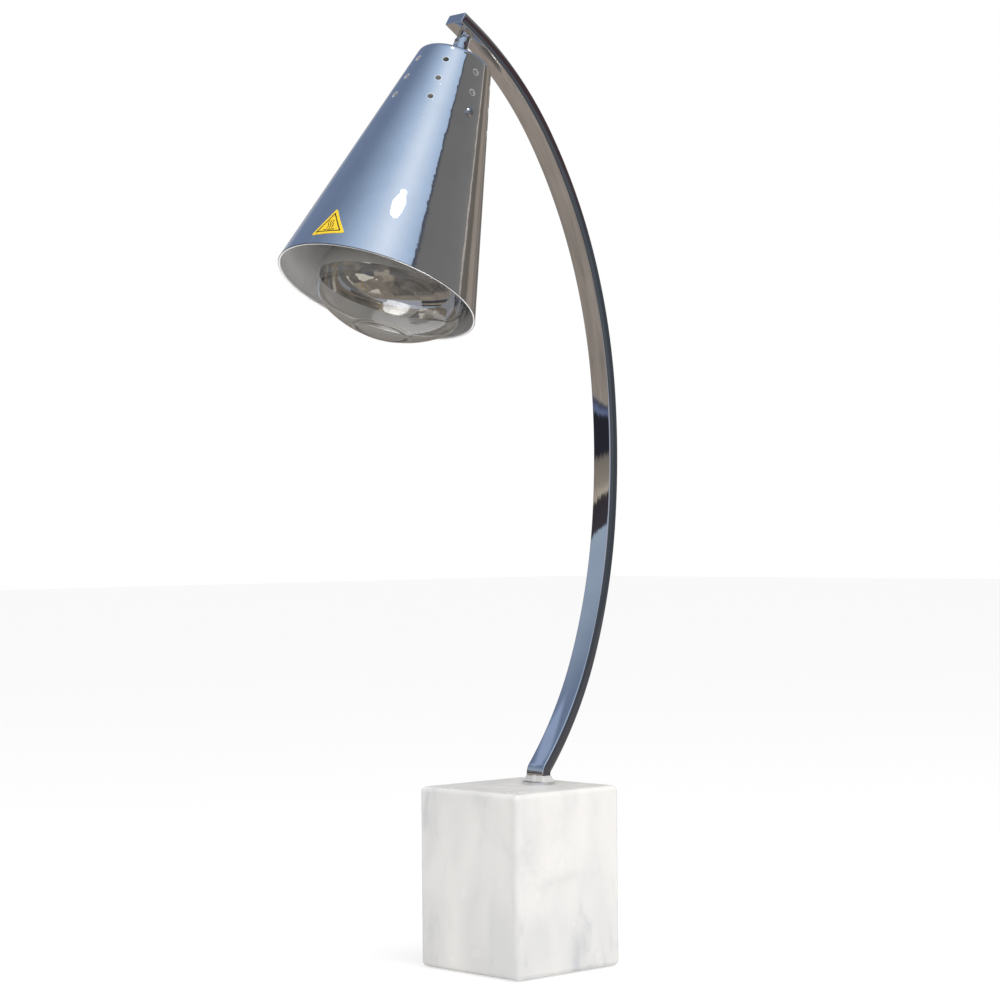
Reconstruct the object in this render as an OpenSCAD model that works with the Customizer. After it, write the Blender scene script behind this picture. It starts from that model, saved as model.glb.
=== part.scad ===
// Heat lamp warmer: a cone shade with a reflector lamp hangs from a swept
// rectangular arm that rises out of a stone block.
// Millimetres. +X towards the head, +Z up, origin at the middle of the
// block's underside.

/* [Block] */
// Side of the square stone block
block_w = 120; // [110:1:130]
// Height of the block's top face above the table
block_top = 152.9; // [140:0.1:160]
// Thickness of the pad under the block
pad_t = 0.6; // [0.4:0.1:1]
// Radius of the block's eased edges
block_edge_r = 4.6; // [1:0.2:5]

/* [Arm] */
// Width of the arm's tube, across the arm
arm_w = 20; // [18:0.5:22]
// Thickness of the arm's tube, in the plane of its sweep
arm_t = 10; // [9:0.5:12]
// Wall of the arm's tube
arm_wall = 1.5; // [1:0.1:2]
// Radius of the tube's outside corners
arm_corner_r = 1; // [0.6:0.1:1.4]
// Where the arm leaves the block, along X
foot_x = -23.3; // [-26:0.1:-20]
// Length of the upright stub above the foot flange
foot_up = 6.8; // [5:0.1:9]
// Angle of the bend at the foot
foot_bend = 39.6; // [35:0.1:44]
// Bend radii of the swept part, from the foot to the tip
sweep_radii = [323, 467, 643, 468, 425, 285];
// Length of each stretch of the sweep
sweep_len = 116.5; // [110:0.5:120]
// How much shorter the first stretch is
first_short = 7.8; // [6:0.1:10]
// Straight length at the tip
tip_len = 15.5; // [12:0.5:22]

/* [Knuckle] */
// Distance of the knuckle's axis from the arm's tip
knuckle_back = 15.3; // [14:0.1:20]
// Distance of the tilt pivot below the arm's inner face
knuckle_drop = 9.9; // [9.5:0.1:12]
// Outside diameter of the swivel and of the stem
stem_d = 13; // [12:0.5:14]

/* [Shade] */
// Tilt of the shade's axis from upright
shade_tilt = 24.29; // [10:0.01:32]
// Outside radius at the shade's rim
rim_r = 83.86; // [80:0.1:90]
// Narrowing of the radius for each millimetre of height
shade_slope = 0.24247; // [0.23:0.001:0.25]
// Height of the shade along its axis
shade_h = 218; // [216:0.5:220]
// Thickness of the shade's sheet
shade_t = 1; // [0.8:0.1:1.2]
// Radius of the rounded shoulder
shoulder_r = 6; // [4:0.5:7]
// Distance from the tilt pivot to the rim's plane
pivot_to_rim = 233.4; // [232:0.1:236]
// Diameter of a vent hole
vent_d = 5.2; // [4:0.2:6]
// Heights of the rows of vent holes above the rim
vent_rows = [200.4, 180.3, 160.3];
// Number of columns of vent holes
vent_cols = 8; // [8:4:12]
// How far the shade is turned on its stem when it is clamped
shade_turn = -4.6; // [-8:0.1:8]

/* [Lamp] */
// How far the lamp hangs back towards upright from the shade's axis
lamp_lean = 5.19; // [0:0.01:6]
// Largest radius of the bulb
bulb_r = 62.75; // [60:0.25:63.5]
// Height of the bulb's domed front
dome_h = 38.7; // [34:0.1:40]
// Distance from the swing axis to the bulb's widest circle
bulb_drop = 152.2; // [150:0.1:154]

/* [Cord] */
// Radius of the supply cord
cord_r = 3.1; // [2.8:0.1:3.2]
// Height of the cord's centre above the table
cord_z = 3.4; // [3.3:0.1:4]

/* [Hidden] */
$fn = 64;

chrome = [0.78, 0.80, 0.83];
steel = [0.68, 0.69, 0.70];
brass = [0.80, 0.64, 0.32];
black = [0.07, 0.07, 0.075];
clear_glass = [0.85, 0.90, 0.93, 0.35];

// ================= paths =================
// A path is a list of [radius, length]. A positive radius turns right, a
// negative one left, and 0 is straight. A pose is [x, y, heading].
function step_end(pose, step) =
  let (radius = step[0], length = step[1], heading = pose[2])
  radius == 0
    ? [pose[0] + length * cos(heading), pose[1] + length * sin(heading), heading]
    : let (turned = heading - length / radius * 180 / PI)
      [pose[0] + radius * (sin(heading) - sin(turned)),
       pose[1] - radius * (cos(heading) - cos(turned)), turned];
function path_end(pose, path, i = 0) =
  i >= len(path) ? pose : path_end(step_end(pose, path[i]), path, i + 1);
function bend(radius, angle) = [radius, abs(radius) * angle * PI / 180];
// a bend and its opposite, which shift the path sideways
function jog(radius, angle) = [bend(radius, angle), bend(-radius, angle)];

// Sweeps along the path, in the XY plane. The children are the section and the
// same section a hair smaller: the stretches alternate between them, and the
// smaller ones reach a little way into their neighbours.
module run(pose, path, i = 0) {
  if (i < len(path)) {
    radius = path[i][0];
    length = path[i][1];
    heading = pose[2];
    odd = i % 2;
    before = odd ? 0.4 : 0;
    after = odd && i < len(path) - 1 ? 0.4 : 0;
    if (radius == 0)
      translate([pose[0], pose[1], 0]) rotate([0, 0, heading]) rotate([90, 0, 90])
        translate([0, 0, -before])
          linear_extrude(height = length + before + after) children(odd);
    else {
      deg_per_mm = 180 / PI / abs(radius);
      turn = length * deg_per_mm;
      translate([pose[0] + radius * sin(heading), pose[1] - radius * cos(heading), 0])
        rotate([0, 0, radius > 0 ? heading + 90 - turn - after * deg_per_mm
                                 : heading - 90 - before * deg_per_mm])
          rotate_extrude(angle = turn + (before + after) * deg_per_mm,
                         $fn = max(48, ceil(8 * 360 / turn)))
            translate([abs(radius), 0]) children(odd);
    }
    run(step_end(pose, path[i]), path, i + 1) {
      children(0);
      children(1);
    }
  }
}
// the same for a round section
module run_round(pose, path, radius, less = 0.01) run(pose, path) {
  circle(radius);
  circle(radius - less);
}
// stands an XY drawing up in the XZ plane
module stand_up() rotate([90, 0, 0]) children();

// ================= shared shapes =================
// copies at -distance and +distance along one axis
module pair_x(distance) for (x = [-distance, distance])
  translate([x, 0, 0]) children();
module pair_y(distance) for (y = [-distance, distance])
  translate([0, y, 0]) children();

// rod along +X from the origin
module x_rod(radius, length) rotate([0, 90, 0])
  cylinder(r = radius, h = length);
// rod along Y, centred
module y_rod(radius, length) rotate([90, 0, 0])
  cylinder(r = radius, h = length, center = true);

module round_rect(width, height, radius) {
  square([width, height - 2 * radius], center = true);
  square([width - 2 * radius, height], center = true);
  for (x = [-1, 1], y = [-1, 1])
    translate([x * (width / 2 - radius), y * (height / 2 - radius)])
      circle(radius);
}

// box with all edges rounded, standing on z = 0
module round_box(width, depth, height, radius) {
  flat_x = width - 2 * radius;
  flat_y = depth - 2 * radius;
  flat_z = height - 2 * radius;
  translate([0, 0, height / 2]) {
    cube([width, flat_y, flat_z], center = true);
    cube([flat_x, depth, flat_z], center = true);
    cube([flat_x, flat_y, height], center = true);
    for (x = [-1, 1], y = [-1, 1]) {
      translate([x * flat_x / 2, y * flat_y / 2, 0])
        cylinder(r = radius, h = flat_z, center = true);
      for (z = [-1, 1])
        translate([x * flat_x / 2, y * flat_y / 2, z * flat_z / 2])
          sphere(radius);
    }
    for (x = [-1, 1], z = [-1, 1])
      translate([x * flat_x / 2, 0, z * flat_z / 2]) y_rod(radius, flat_y);
    for (y = [-1, 1], z = [-1, 1])
      translate([0, y * flat_y / 2, z * flat_z / 2]) rotate([0, 90, 0])
        cylinder(r = radius, h = flat_x, center = true);
  }
}

module ring(radius, height, bore_r) difference() {
  cylinder(r = radius, h = height);
  translate([0, 0, -1]) cylinder(r = bore_r, h = height + 2);
}

// hexagonal nut with its corners rounded off by a sphere
module hex_nut(across_flats, height, bore_r) difference() {
  intersection() {
    cylinder(r = across_flats / sqrt(3), h = height, $fn = 6);
    translate([0, 0, height / 2])
      sphere(r = sqrt(pow(across_flats / 2 + 0.25, 2) + pow(height / 2, 2)));
  }
  translate([0, 0, -1]) cylinder(r = bore_r, h = height + 2);
}

// ================= layout and frames =================
flange_t = 2;
foot_bend_r = 8;
arm_foot_z = block_top + flange_t;
arm_start = [foot_x, arm_foot_z, 90];

// the arm's centre line without the straight tip, in the XZ plane; end_cut
// shortens the last stretch
function arm_sweep(stub, end_cut = 0) = let (last = len(sweep_radii) - 1)
  concat(
    [[0, stub], bend(-foot_bend_r, foot_bend),
     [sweep_radii[0], sweep_len - first_short]],
    [for (i = [1:last]) [sweep_radii[i], sweep_len - (i == last ? end_cut : 0)]]);
arm_path = concat(arm_sweep(foot_up), [[0, tip_len]]);
tip = path_end(arm_start, arm_path);
tip_angle = tip[2];

// the tilt pivot, below the arm's inner face
pivot_off = arm_t / 2 + knuckle_drop;
pivot_x = tip[0] - knuckle_back * cos(tip_angle) + pivot_off * sin(tip_angle);
pivot_z = tip[1] - knuckle_back * sin(tip_angle) - pivot_off * cos(tip_angle);
// the middle of the rim's plane
rim_x = pivot_x + pivot_to_rim * sin(shade_tilt);
rim_z = pivot_z - pivot_to_rim * cos(shade_tilt);
// the lamp swings on two side screws in the lowest row of vents
swing_z = vent_rows[2];

// the foot's upright axis
module at_foot(z = 0) translate([foot_x, 0, z]) children();
// the tip's cross section, extruding outwards along the arm
module at_tip() stand_up() translate([tip[0], tip[1], 0])
  rotate([0, 0, tip_angle]) children();
// the tilt pivot, with +Z square to the arm
module at_knuckle() translate([pivot_x, 0, pivot_z])
  rotate([0, -tip_angle, 0]) children();
// the middle of the rim, with +Z up the shade's axis
module at_head() translate([rim_x, 0, rim_z])
  rotate([0, -shade_tilt, 0]) children();
// the same, turned on the stem
module at_shade() at_head() rotate([0, 0, shade_turn]) children();
// the swing axis, which lies along Y
module at_swing() at_shade() translate([0, 0, swing_z]) children();
module at_lamp() at_swing() rotate([0, lamp_lean, 0]) children();

// ================= block and base hardware =================
recess_r = 30;
recess_top = 31.5;
pipe_r = 5;
pipe_z = 20; // underside of the pipe
boss_r = 8; // boss under the foot flange
boss_h = 10;
channel_w = 9.2;

// channel for the cord, from the -X face to the recess
module cord_channel(height)
  translate([-block_w / 2 - 1, -channel_w / 2, -1])
    cube([block_w / 2 + foot_x + 1 - recess_r / 2, channel_w, height]);

module stone_block() color([0.90, 0.90, 0.885]) difference() {
  translate([0, 0, pad_t])
    round_box(block_w, block_w, block_top - pad_t, block_edge_r);
  at_foot(-1) cylinder(r = recess_r, h = recess_top + 1);
  at_foot() cylinder(r = pipe_r + 0.4, h = block_top + 1);
  at_foot(block_top - boss_h - 0.4) cylinder(r = boss_r + 0.3, h = 12);
  cord_channel(11.6);
}

module base_pad() color([0.10, 0.10, 0.10]) difference() {
  linear_extrude(height = pad_t - 0.01)
    round_rect(block_w - 14, block_w - 14, 3);
  at_foot(-1) cylinder(r = 21.5, h = 5);
  cord_channel(5);
}

module base_washer() color(steel)
  at_foot(recess_top - 2.6) ring(20, 2.55, pipe_r + 0.3);

module base_nut() color(steel)
  at_foot(recess_top - 9.2) hex_nut(17, 6.5, pipe_r + 0.02);

module lamp_pipe() color(steel) at_foot() difference() {
  translate([0, 0, pipe_z]) cylinder(r = pipe_r, h = block_top - 1.6 - pipe_z);
  cylinder(r = 3.6, h = block_top + 1);
}

module foot_flange() color(chrome) at_foot() difference() {
  union() {
    // disc with a small step at its top edge
    translate([0, 0, block_top + 0.01]) {
      cylinder(r = 13.6, h = flange_t - 0.02);
      cylinder(r = 14, h = flange_t - 0.4);
    }
    translate([0, 0, block_top - boss_h]) cylinder(r = boss_r, h = boss_h + 1);
  }
  translate([0, 0, block_top - 12]) cylinder(r = pipe_r + 0.02, h = 10.6);
  cylinder(r = 3, h = block_top + 5);
}

// ================= arm =================
bore_t = arm_t - 2 * arm_wall;
bore_w = arm_w - 2 * arm_wall;
swivel_nipple_r = 4;

module arm_section(inset, corner_r)
  round_rect(arm_t - 2 * inset, arm_w - 2 * inset, corner_r);

module arm_sweep_solid(inset, corner_r) stand_up() run(arm_start, arm_path) {
  arm_section(inset, corner_r);
  arm_section(inset + 0.01, corner_r);
}

module arm_tube() color(chrome) difference() {
  arm_sweep_solid(0, arm_corner_r);
  arm_sweep_solid(arm_wall, 0.5);
  // clears the bore's two ends
  at_foot(arm_foot_z) cube([bore_t, bore_w, 2], center = true);
  at_tip() cube([2, bore_t, bore_w], center = true);
  // the swivel's hole in the inner wall
  at_knuckle() translate([0, 0, knuckle_drop - 2])
    cylinder(r = swivel_nipple_r + 0.05, h = arm_wall + 4);
}

module arm_end_cap() color(chrome) at_tip() rotate([90, 0, 90]) {
  translate([0, 0, 0.02]) linear_extrude(height = 1.5)
    round_rect(arm_t, arm_w, arm_corner_r);
  // plug inside the bore
  translate([0, 0, -1.2]) linear_extrude(height = 1.3)
    round_rect(bore_t - 0.1, bore_w - 0.1, 0.45);
}

// the cord inside the pipe and the arm, up to near the swivel
arm_cord_z = 28;
module arm_cord() color(black) stand_up()
  run_round([foot_x, arm_cord_z, 90],
    arm_sweep(arm_foot_z + foot_up - arm_cord_z, end_cut = 22), 2.7);

// ================= supply cord =================
switch_x = -94;
switch_y = -66;
cord_bend_r = 12; // upright bends at the block and the switch
switch_jog_angle = 39.9;
under_block_z = 19; // cord's upper end below the pipe
join_x = -65.6; // where the upright and flat runs meet
corner_r = 22; // flat corner between the block and the switch
// the hank: flat runs side by side along X, joined by U-turns
hank_x = -70;
hank_y = -130;
hank_len = 46;
hank_turn_r = 6.5;
hank_corner_r = 14; // flat corner between the switch and the hank
plug_x = -28;
plug_y = hank_y + 8 * hank_turn_r;
plug_z = 11.6;
boot_z = 11.5; // axis of the plug's ribbed cord boot

module cord_grip() {
  face_x = -block_w / 2;
  color(black) difference() {
    union() {
      translate([face_x - 1.9, -5.6, 0.5]) cube([1.85, 11.2, 11]);
      translate([face_x - 0.1, -4.5, 0.5]) cube([13, 9, 10]);
      translate([face_x - 7, 0, cord_z + 1.2]) rotate([0, 90, 0])
        cylinder(r1 = 3.9, r2 = 4.1, h = 6);
    }
    translate([face_x - 10, 0, cord_z]) x_rod(cord_r + 0.05, 40);
    // trims the underside
    translate([-block_w, -20, -5]) cube([block_w, 40, 5.4]);
  }
}

// upright plane through the switch, with its X along -Y
module through_switch() translate([switch_x, 0, 0]) rotate([0, 0, -90])
  stand_up() children();

module cord_block_to_switch() color(black) {
  stand_up() run_round([foot_x, under_block_z, 270],
    [[0, under_block_z - cord_z - cord_bend_r], bend(cord_bend_r, 90),
     [0, foot_x - cord_bend_r - join_x]], cord_r);
  translate([0, 0, cord_z]) run_round([join_x, 0, 180],
    [[0, join_x - corner_r - switch_x], bend(-corner_r, 90), [0, 1]], cord_r);
  through_switch() run_round([22.6, cord_z, 0],
    concat(jog(-cord_bend_r, switch_jog_angle), [[0, 4]]), cord_r - 0.02);
}

module cord_switch_to_plug() color(black) {
  through_switch() run_round([90, 9, 0],
    concat([[0, 4.6]], jog(cord_bend_r, switch_jog_angle), [[0, 6]]),
    cord_r - 0.02);
  left_turn = bend(-hank_turn_r, 180);
  right_turn = bend(hank_turn_r, 180);
  translate([0, 0, cord_z])
    run_round([switch_x, hank_y + hank_corner_r + 1, 270],
      [[0, 1], bend(-hank_corner_r, 90),
       [0, hank_x + hank_len - switch_x - hank_corner_r], left_turn,
       [0, hank_len], right_turn, [0, hank_len], left_turn,
       [0, hank_len], right_turn, [0, 8]], cord_r);
  // rises to the plug
  translate([0, plug_y, 0]) stand_up() run_round([hank_x + 7.6, cord_z, 0],
    concat(jog(-20, 37.1), [[0, 9]]), cord_r - 0.02);
}

// flat band around the four runs of the hank
module cord_tie() color([0.05, 0.05, 0.05])
  translate([hank_x + hank_len / 2, (hank_y + plug_y) / 2 - hank_turn_r, 0])
    difference() {
      translate([-4, -24, 0.05]) cube([8, 48, 7.4]);
      translate([-5, -23.2, 0.22]) cube([10, 46.4, 6.4]);
    }

// ================= plug =================
blade_y = 6.35;
blade_z = 2.5;
blade_t = 1.5;
blade_w = 6.3;
pin_z = -7.4;
pin_r = 2.4;
prong_x = 20; // where the prongs start inside the body

module at_plug(x = 0, z = plug_z) translate([plug_x + x, plug_y, z]) children();

module blade(length, gap = 0)
  translate([0, -blade_t / 2 - gap, -blade_w / 2 - gap])
    cube([length, blade_t + 2 * gap, blade_w + 2 * gap]);
module at_blades() pair_y(blade_y) translate([0, 0, blade_z]) children();
module at_pin() translate([0, 0, pin_z]) rotate([0, 90, 0]) children();

module plug_body() color(black) difference() {
  union() {
    at_plug(7) rotate([0, 90, 0]) intersection() {
      rotate([0, 0, 90]) linear_extrude(height = 30) round_rect(24, 22, 6);
      cylinder(r1 = 10, r2 = 22, h = 30);
    }
    at_plug(36.9) rotate([0, 90, 0])
      rotate([0, 0, 90]) linear_extrude(height = 3) round_rect(26, 23, 5);
    // ribs of the boot, then its core
    for (i = [0:3]) at_plug(-10 + i * 4.6, boot_z) rotate([0, 90, 0])
      cylinder(r1 = 4.4 + i * 0.4, r2 = 4.7 + i * 0.4, h = 3.4);
    at_plug(-10, boot_z) rotate([0, 90, 0])
      cylinder(r1 = 3.9, r2 = 5.2, h = 20);
  }
  at_plug(-12, boot_z) x_rod(cord_r + 0.05, 22);
  // seats for the prongs
  at_plug(prong_x) {
    at_blades() blade(21, gap = 0.03);
    at_pin() cylinder(r = pin_r + 0.03, h = 21);
  }
}

// two flat blades with holes, and a round earth pin
module plug_prongs() color(brass) at_plug(prong_x) {
  pin_len = 37.6;
  at_blades() difference() {
    blade(37);
    translate([32.5, -blade_t / 2 - 1, 0]) rotate([-90, 0, 0])
      cylinder(r = 1.6, h = 4);
  }
  at_pin() {
    cylinder(r = pin_r, h = pin_len);
    translate([0, 0, pin_len]) sphere(r = pin_r);
  }
}

// ================= cord switch =================
switch_len = 58;
switch_w = 27;
switch_h = 18;
split_z = 9; // height of the joint between the shells
switch_screw_x = 17;
switch_screw_r = 1.5;
rocker_z = 14;
rocker_tilt = 8;
rocker_pin_r = 1.2;

// the switch's length lies along its own X, which is the lamp's Y
module at_switch() translate([switch_x, switch_y, 0.3])
  rotate([0, 0, 90]) children();

module switch_outer() difference() {
  round_box(switch_len, switch_w, switch_h, 4);
  // cord openings
  pair_x(switch_len / 2 + 1) translate([0, 0, 8.7])
    rotate([0, 90, 0]) cylinder(r = 3.25, h = 12, center = true);
}

module switch_cavity(height) linear_extrude(height = height)
  round_rect(switch_len - 6, switch_w - 5, 2);

module switch_lower_shell() color(black) at_switch() difference() {
  intersection() {
    switch_outer();
    translate([-50, -50, 0]) cube([100, 100, split_z - 0.05]);
  }
  translate([0, 0, 2]) switch_cavity(12);
  // screw holes and the recesses for the heads
  pair_x(switch_screw_x) translate([0, 0, -1]) {
    cylinder(r = switch_screw_r + 0.15, h = 5);
    cylinder(r = 3.1, h = 1.9);
  }
}

module switch_upper_shell() color(black) at_switch() {
  difference() {
    intersection() {
      switch_outer();
      translate([-50, -50, split_z]) cube([100, 100, 12]);
    }
    translate([0, 0, 4]) switch_cavity(switch_h - 6);
    translate([-8.5, -5.4, 10]) cube([17, 10.8, 12]);
  }
  // bosses for the screws
  pair_x(switch_screw_x) translate([0, 0, 4]) difference() {
    cylinder(r = 3.6, h = switch_h - 6 + 0.5);
    translate([0, 0, -1]) cylinder(r = switch_screw_r + 0.02, h = 9);
  }
  // ears for the rocker's pins
  pair_y(7) difference() {
    translate([-3, -1.5, 11.2]) cube([6, 3, switch_h - 13]);
    translate([0, 0, rocker_z]) y_rod(rocker_pin_r + 0.05, 8);
  }
}

module switch_screws() color(steel) at_switch()
  pair_x(switch_screw_x) difference() {
    union() {
      translate([0, 0, 0.15]) cylinder(r = 2.9, h = 0.7);
      translate([0, 0, 0.2]) cylinder(r = switch_screw_r, h = 10.5);
    }
    // cross slot
    translate([-2, -0.35, -0.2]) cube([4, 0.7, 0.8]);
    translate([-0.35, -2, -0.2]) cube([0.7, 4, 0.8]);
  }

module switch_contacts() color(brass) at_switch()
  pair_x(9) translate([-2.5, -7, 2.05]) {
    cube([5, 14, 0.8]);
    translate([1.2, 4, 0.5]) cube([2.6, 6, 4]);
  }

// side view of the rocker, [x, height] about its pins
rocker_outline = [
  [-7.3, 5.6], [-6.6, 5.9], [0, 4.6], [6.6, 5.9], [7.3, 5.6],
  [6.9, -1.8], [4, -2.8], [-4, -2.8], [-6.9, -1.8]];
module switch_rocker() color([0.12, 0.12, 0.12]) at_switch()
  translate([0, 0, rocker_z]) rotate([0, rocker_tilt, 0]) rotate([90, 0, 0]) {
    translate([0, 0, -5]) linear_extrude(height = 10) polygon(rocker_outline);
    translate([0, 0, -7.6]) cylinder(r = rocker_pin_r, h = 15.2);
  }

// ================= swivel under the arm =================
flange_bot = knuckle_drop - 3.45;
tongue_t = 5;
tilt_bolt_r = 1.5;
tilt_head_r = 2.4;

module swivel_top() color(chrome) at_knuckle() difference() {
  union() {
    translate([0, 0, flange_bot]) cylinder(d = stem_d - 0.6, h = 3.4);
    translate([0, 0, flange_bot + 0.3]) cylinder(d = stem_d, h = 2.8);
    // tongue with a round lower end
    intersection() {
      union() {
        y_rod(4.6, tongue_t);
        translate([-6, -tongue_t / 2, 2])
          cube([12, tongue_t, flange_bot - 2 + 0.5]);
        translate([-4.6, -tongue_t / 2, 0]) cube([9.2, tongue_t, flange_bot]);
      }
      cylinder(r = 6.3, h = 30, center = true);
    }
  }
  translate([0, 0, 7]) cylinder(r = swivel_nipple_r + 0.02, h = 20);
  // two bores down through the tongue
  pair_x(3) translate([0, 0, -8]) cylinder(r = 0.95, h = 16);
  y_rod(tilt_bolt_r + 0.02, 20);
}

module swivel_nipple() color(steel) at_knuckle() difference() {
  translate([0, 0, 7.05])
    cylinder(r = swivel_nipple_r, h = knuckle_drop + 5.5 - 7.05);
  translate([0, 0, 2]) cylinder(r = 3.1, h = 30);
}

module swivel_washer() color(steel) at_knuckle()
  translate([0, 0, knuckle_drop + arm_wall + 0.05])
    ring(6.5, 0.5, swivel_nipple_r + 0.05);

module swivel_nut() color(steel) at_knuckle()
  translate([0, 0, knuckle_drop + arm_wall + 0.6])
    hex_nut(11, 3, swivel_nipple_r + 0.01);

module tilt_bolt() color(steel) at_knuckle() rotate([90, 0, 0]) difference() {
  union() {
    cylinder(r = tilt_bolt_r, h = 11.5, center = true);
    translate([0, 0, 5.15]) cylinder(r = tilt_head_r, h = 0.9);
  }
  translate([-3, -0.35, 5.6]) cube([6, 0.7, 2]);
}

module tilt_nut() color(steel) at_knuckle() rotate([90, 0, 0])
  translate([0, 0, -6.05]) ring(tilt_head_r, 0.9, tilt_bolt_r + 0.01);

// ================= stem =================
shade_nipple_r = 4.9;

module stem() color(chrome) at_head() difference() {
  // cylinder with its top rounded about the pivot
  intersection() {
    translate([0, 0, shade_h + 0.02])
      cylinder(d = stem_d, h = pivot_to_rim - shade_h + 10);
    union() {
      translate([-10, -10, 0]) cube([20, 20, pivot_to_rim]);
      translate([0, 0, pivot_to_rim]) y_rod(stem_d / 2 - 0.1, 20);
    }
  }
  // slot for the swivel's tongue
  translate([-10, -tongue_t / 2 - 0.1, pivot_to_rim - 4.9])
    cube([20, tongue_t + 0.2, 20]);
  // pivot hole and the recesses for the bolt's head and nut
  translate([0, 0, pivot_to_rim]) rotate([90, 0, 0]) {
    cylinder(r = tilt_bolt_r + 0.06, h = 20, center = true);
    for (z = [5.1, -10.1]) translate([0, 0, z])
      cylinder(r = tilt_head_r + 0.1, h = 5);
  }
  // bore, wider where it takes the nipple
  translate([0, 0, 200]) cylinder(r = 4, h = pivot_to_rim - 200 - 4);
  translate([0, 0, 200]) cylinder(r = shade_nipple_r + 0.02, h = 24.6);
}

module shade_nipple() color(steel) at_head() difference() {
  translate([0, 0, 209.5]) cylinder(r = shade_nipple_r, h = 14.6);
  translate([0, 0, 200]) cylinder(r = 3.3, h = 40);
}

module shade_washer() color(steel) at_head()
  translate([0, 0, shade_h - shade_t - 1.25])
    ring(12, 1.2, shade_nipple_r + 0.1);

module shade_nut() color(steel) at_head()
  translate([0, 0, shade_h - shade_t - 5.35])
    hex_nut(14, 4, shade_nipple_r + 0.03);

// ================= shade =================
slope_angle = atan(shade_slope);
// centre of the shoulder's arc
shoulder_z = shade_h - shoulder_r;
shoulder_x = (rim_r * cos(slope_angle) - shoulder_r
  - sin(slope_angle) * shoulder_z) / cos(slope_angle);
side_screw_r = 2;

// outside radius of the cone at a height above the rim
function cone_r(z) = rim_r - shade_slope * z;

// half section of the solid cone, inset all round
module shade_section(inset) {
  arc_r = shoulder_r - inset;
  base_r = rim_r - inset / cos(slope_angle);
  translate([shoulder_x, shoulder_z]) circle(arc_r);
  polygon([[0, -5], [base_r + 5 * shade_slope, -5],
           [shoulder_x + arc_r * cos(slope_angle),
            shoulder_z + arc_r * sin(slope_angle)],
           [shoulder_x, shoulder_z + arc_r], [0, shoulder_z + arc_r]]);
}
module shade_solid(inset) rotate_extrude($fn = 128) intersection() {
  shade_section(inset);
  translate([0, -10]) square([200, 400]);
}

module shade() color(chrome) at_shade() difference() {
  shade_solid(0);
  shade_solid(shade_t);
  // trims the rim flat
  translate([0, 0, -20]) cylinder(r = 200, h = 20);
  translate([0, 0, 200]) cylinder(r = shade_nipple_r + 0.15, h = 40);
  // vents, except where the side screws take their place
  for (row = [0:2], k = [0:vent_cols - 1]) {
    angle = k * 360 / vent_cols;
    if (!(row == 2 && (angle == 90 || angle == 270)))
      rotate([0, 0, angle])
        translate([cone_r(vent_rows[row]), 0, vent_rows[row]])
          rotate([0, 90 - slope_angle, 0])
            cylinder(d = vent_d, h = 12, center = true);
  }
  translate([0, 0, swing_z]) y_rod(side_screw_r + 0.1, 120);
}

// a plain triangular label on a curved seat just off the cone
label_side = 30.5;
label_z = 19; // height of its middle
label_angle = 17.6; // place around the shade
module label_cone(off, bottom, top) rotate_extrude($fn = 128)
  polygon([[0, bottom], [cone_r(bottom) + off, bottom],
           [cone_r(top) + off, top], [0, top]]);
module caution_label() color([0.98, 0.80, 0.12]) at_shade() intersection() {
  difference() {
    label_cone(0.28, 0, 60);
    label_cone(0.03, -1, 61);
  }
  rotate([0, 0, label_angle])
    translate([cone_r(label_z), 0, label_z])
      rotate([0, 90 - slope_angle, 0]) rotate([0, 0, 90 + 7.5])
        translate([0, 0, -12]) linear_extrude(height = 24)
          label_outline(label_side / sqrt(3));
}
// triangle with each corner cut across
module label_outline(radius) polygon([
  for (k = [0:2], side = [-1, 1]) let (angle = 90 + 120 * k)
    [(radius - 1.6) * cos(angle) + 1.3 * cos(angle + side * 60),
     (radius - 1.6) * sin(angle) + 1.3 * sin(angle + side * 60)]]);

// ================= lamp holder's screws =================
wall_y = cone_r(swing_z);
leg_y = 39; // outer face of the yoke's legs
yoke_t = 1.5;
screw_start = 33.4; // inner end of each side screw

// both ends of the swing axis, with +Z outwards
module on_side_screws() at_swing() for (turn = [0, 180])
  rotate([0, 0, turn]) rotate([-90, 0, 0]) children();

module yoke_screws() color(steel) on_side_screws() difference() {
  union() {
    translate([0, 0, screw_start])
      cylinder(r = side_screw_r, h = wall_y + 1 - screw_start);
    // domed head
    intersection() {
      translate([0, 0, wall_y + 0.95]) cylinder(r = 3.6, h = 2.3);
      translate([0, 0, wall_y - 1.4]) sphere(r = 4.65);
    }
  }
  for (angle = [20, 110]) rotate([0, 0, angle])
    translate([-2.3, -0.4, wall_y + 2.1]) cube([4.6, 0.8, 3]);
}

module yoke_spacers() color(steel) on_side_screws()
  translate([0, 0, leg_y + 0.05]) ring(3.4, 3.9, side_screw_r + 0.02);

module yoke_nuts() color(steel) on_side_screws()
  translate([0, 0, leg_y - yoke_t - 0.05 - 3.2])
    hex_nut(7, 3.15, side_screw_r + 0.02);

// two insulated leads from the stem down to the holder's terminals
module lamp_leads() color([0.85, 0.83, 0.78]) at_shade()
  for (turn = [0, 180]) rotate([0, 0, turn]) stand_up()
    run_round([1.6, 222, 270],
      concat([[0, 26]], jog(-12, 55.5), [[0, 1.5]]), 0.95, 0.05);

// ================= lamp holder (swings on the two screws) =================
yoke_z = 9.5; // underside of the yoke's bridge
yoke_half_w = 7;
rivet_y = 12;
rivet_r = 1.55;
terminal_x = 12;

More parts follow.
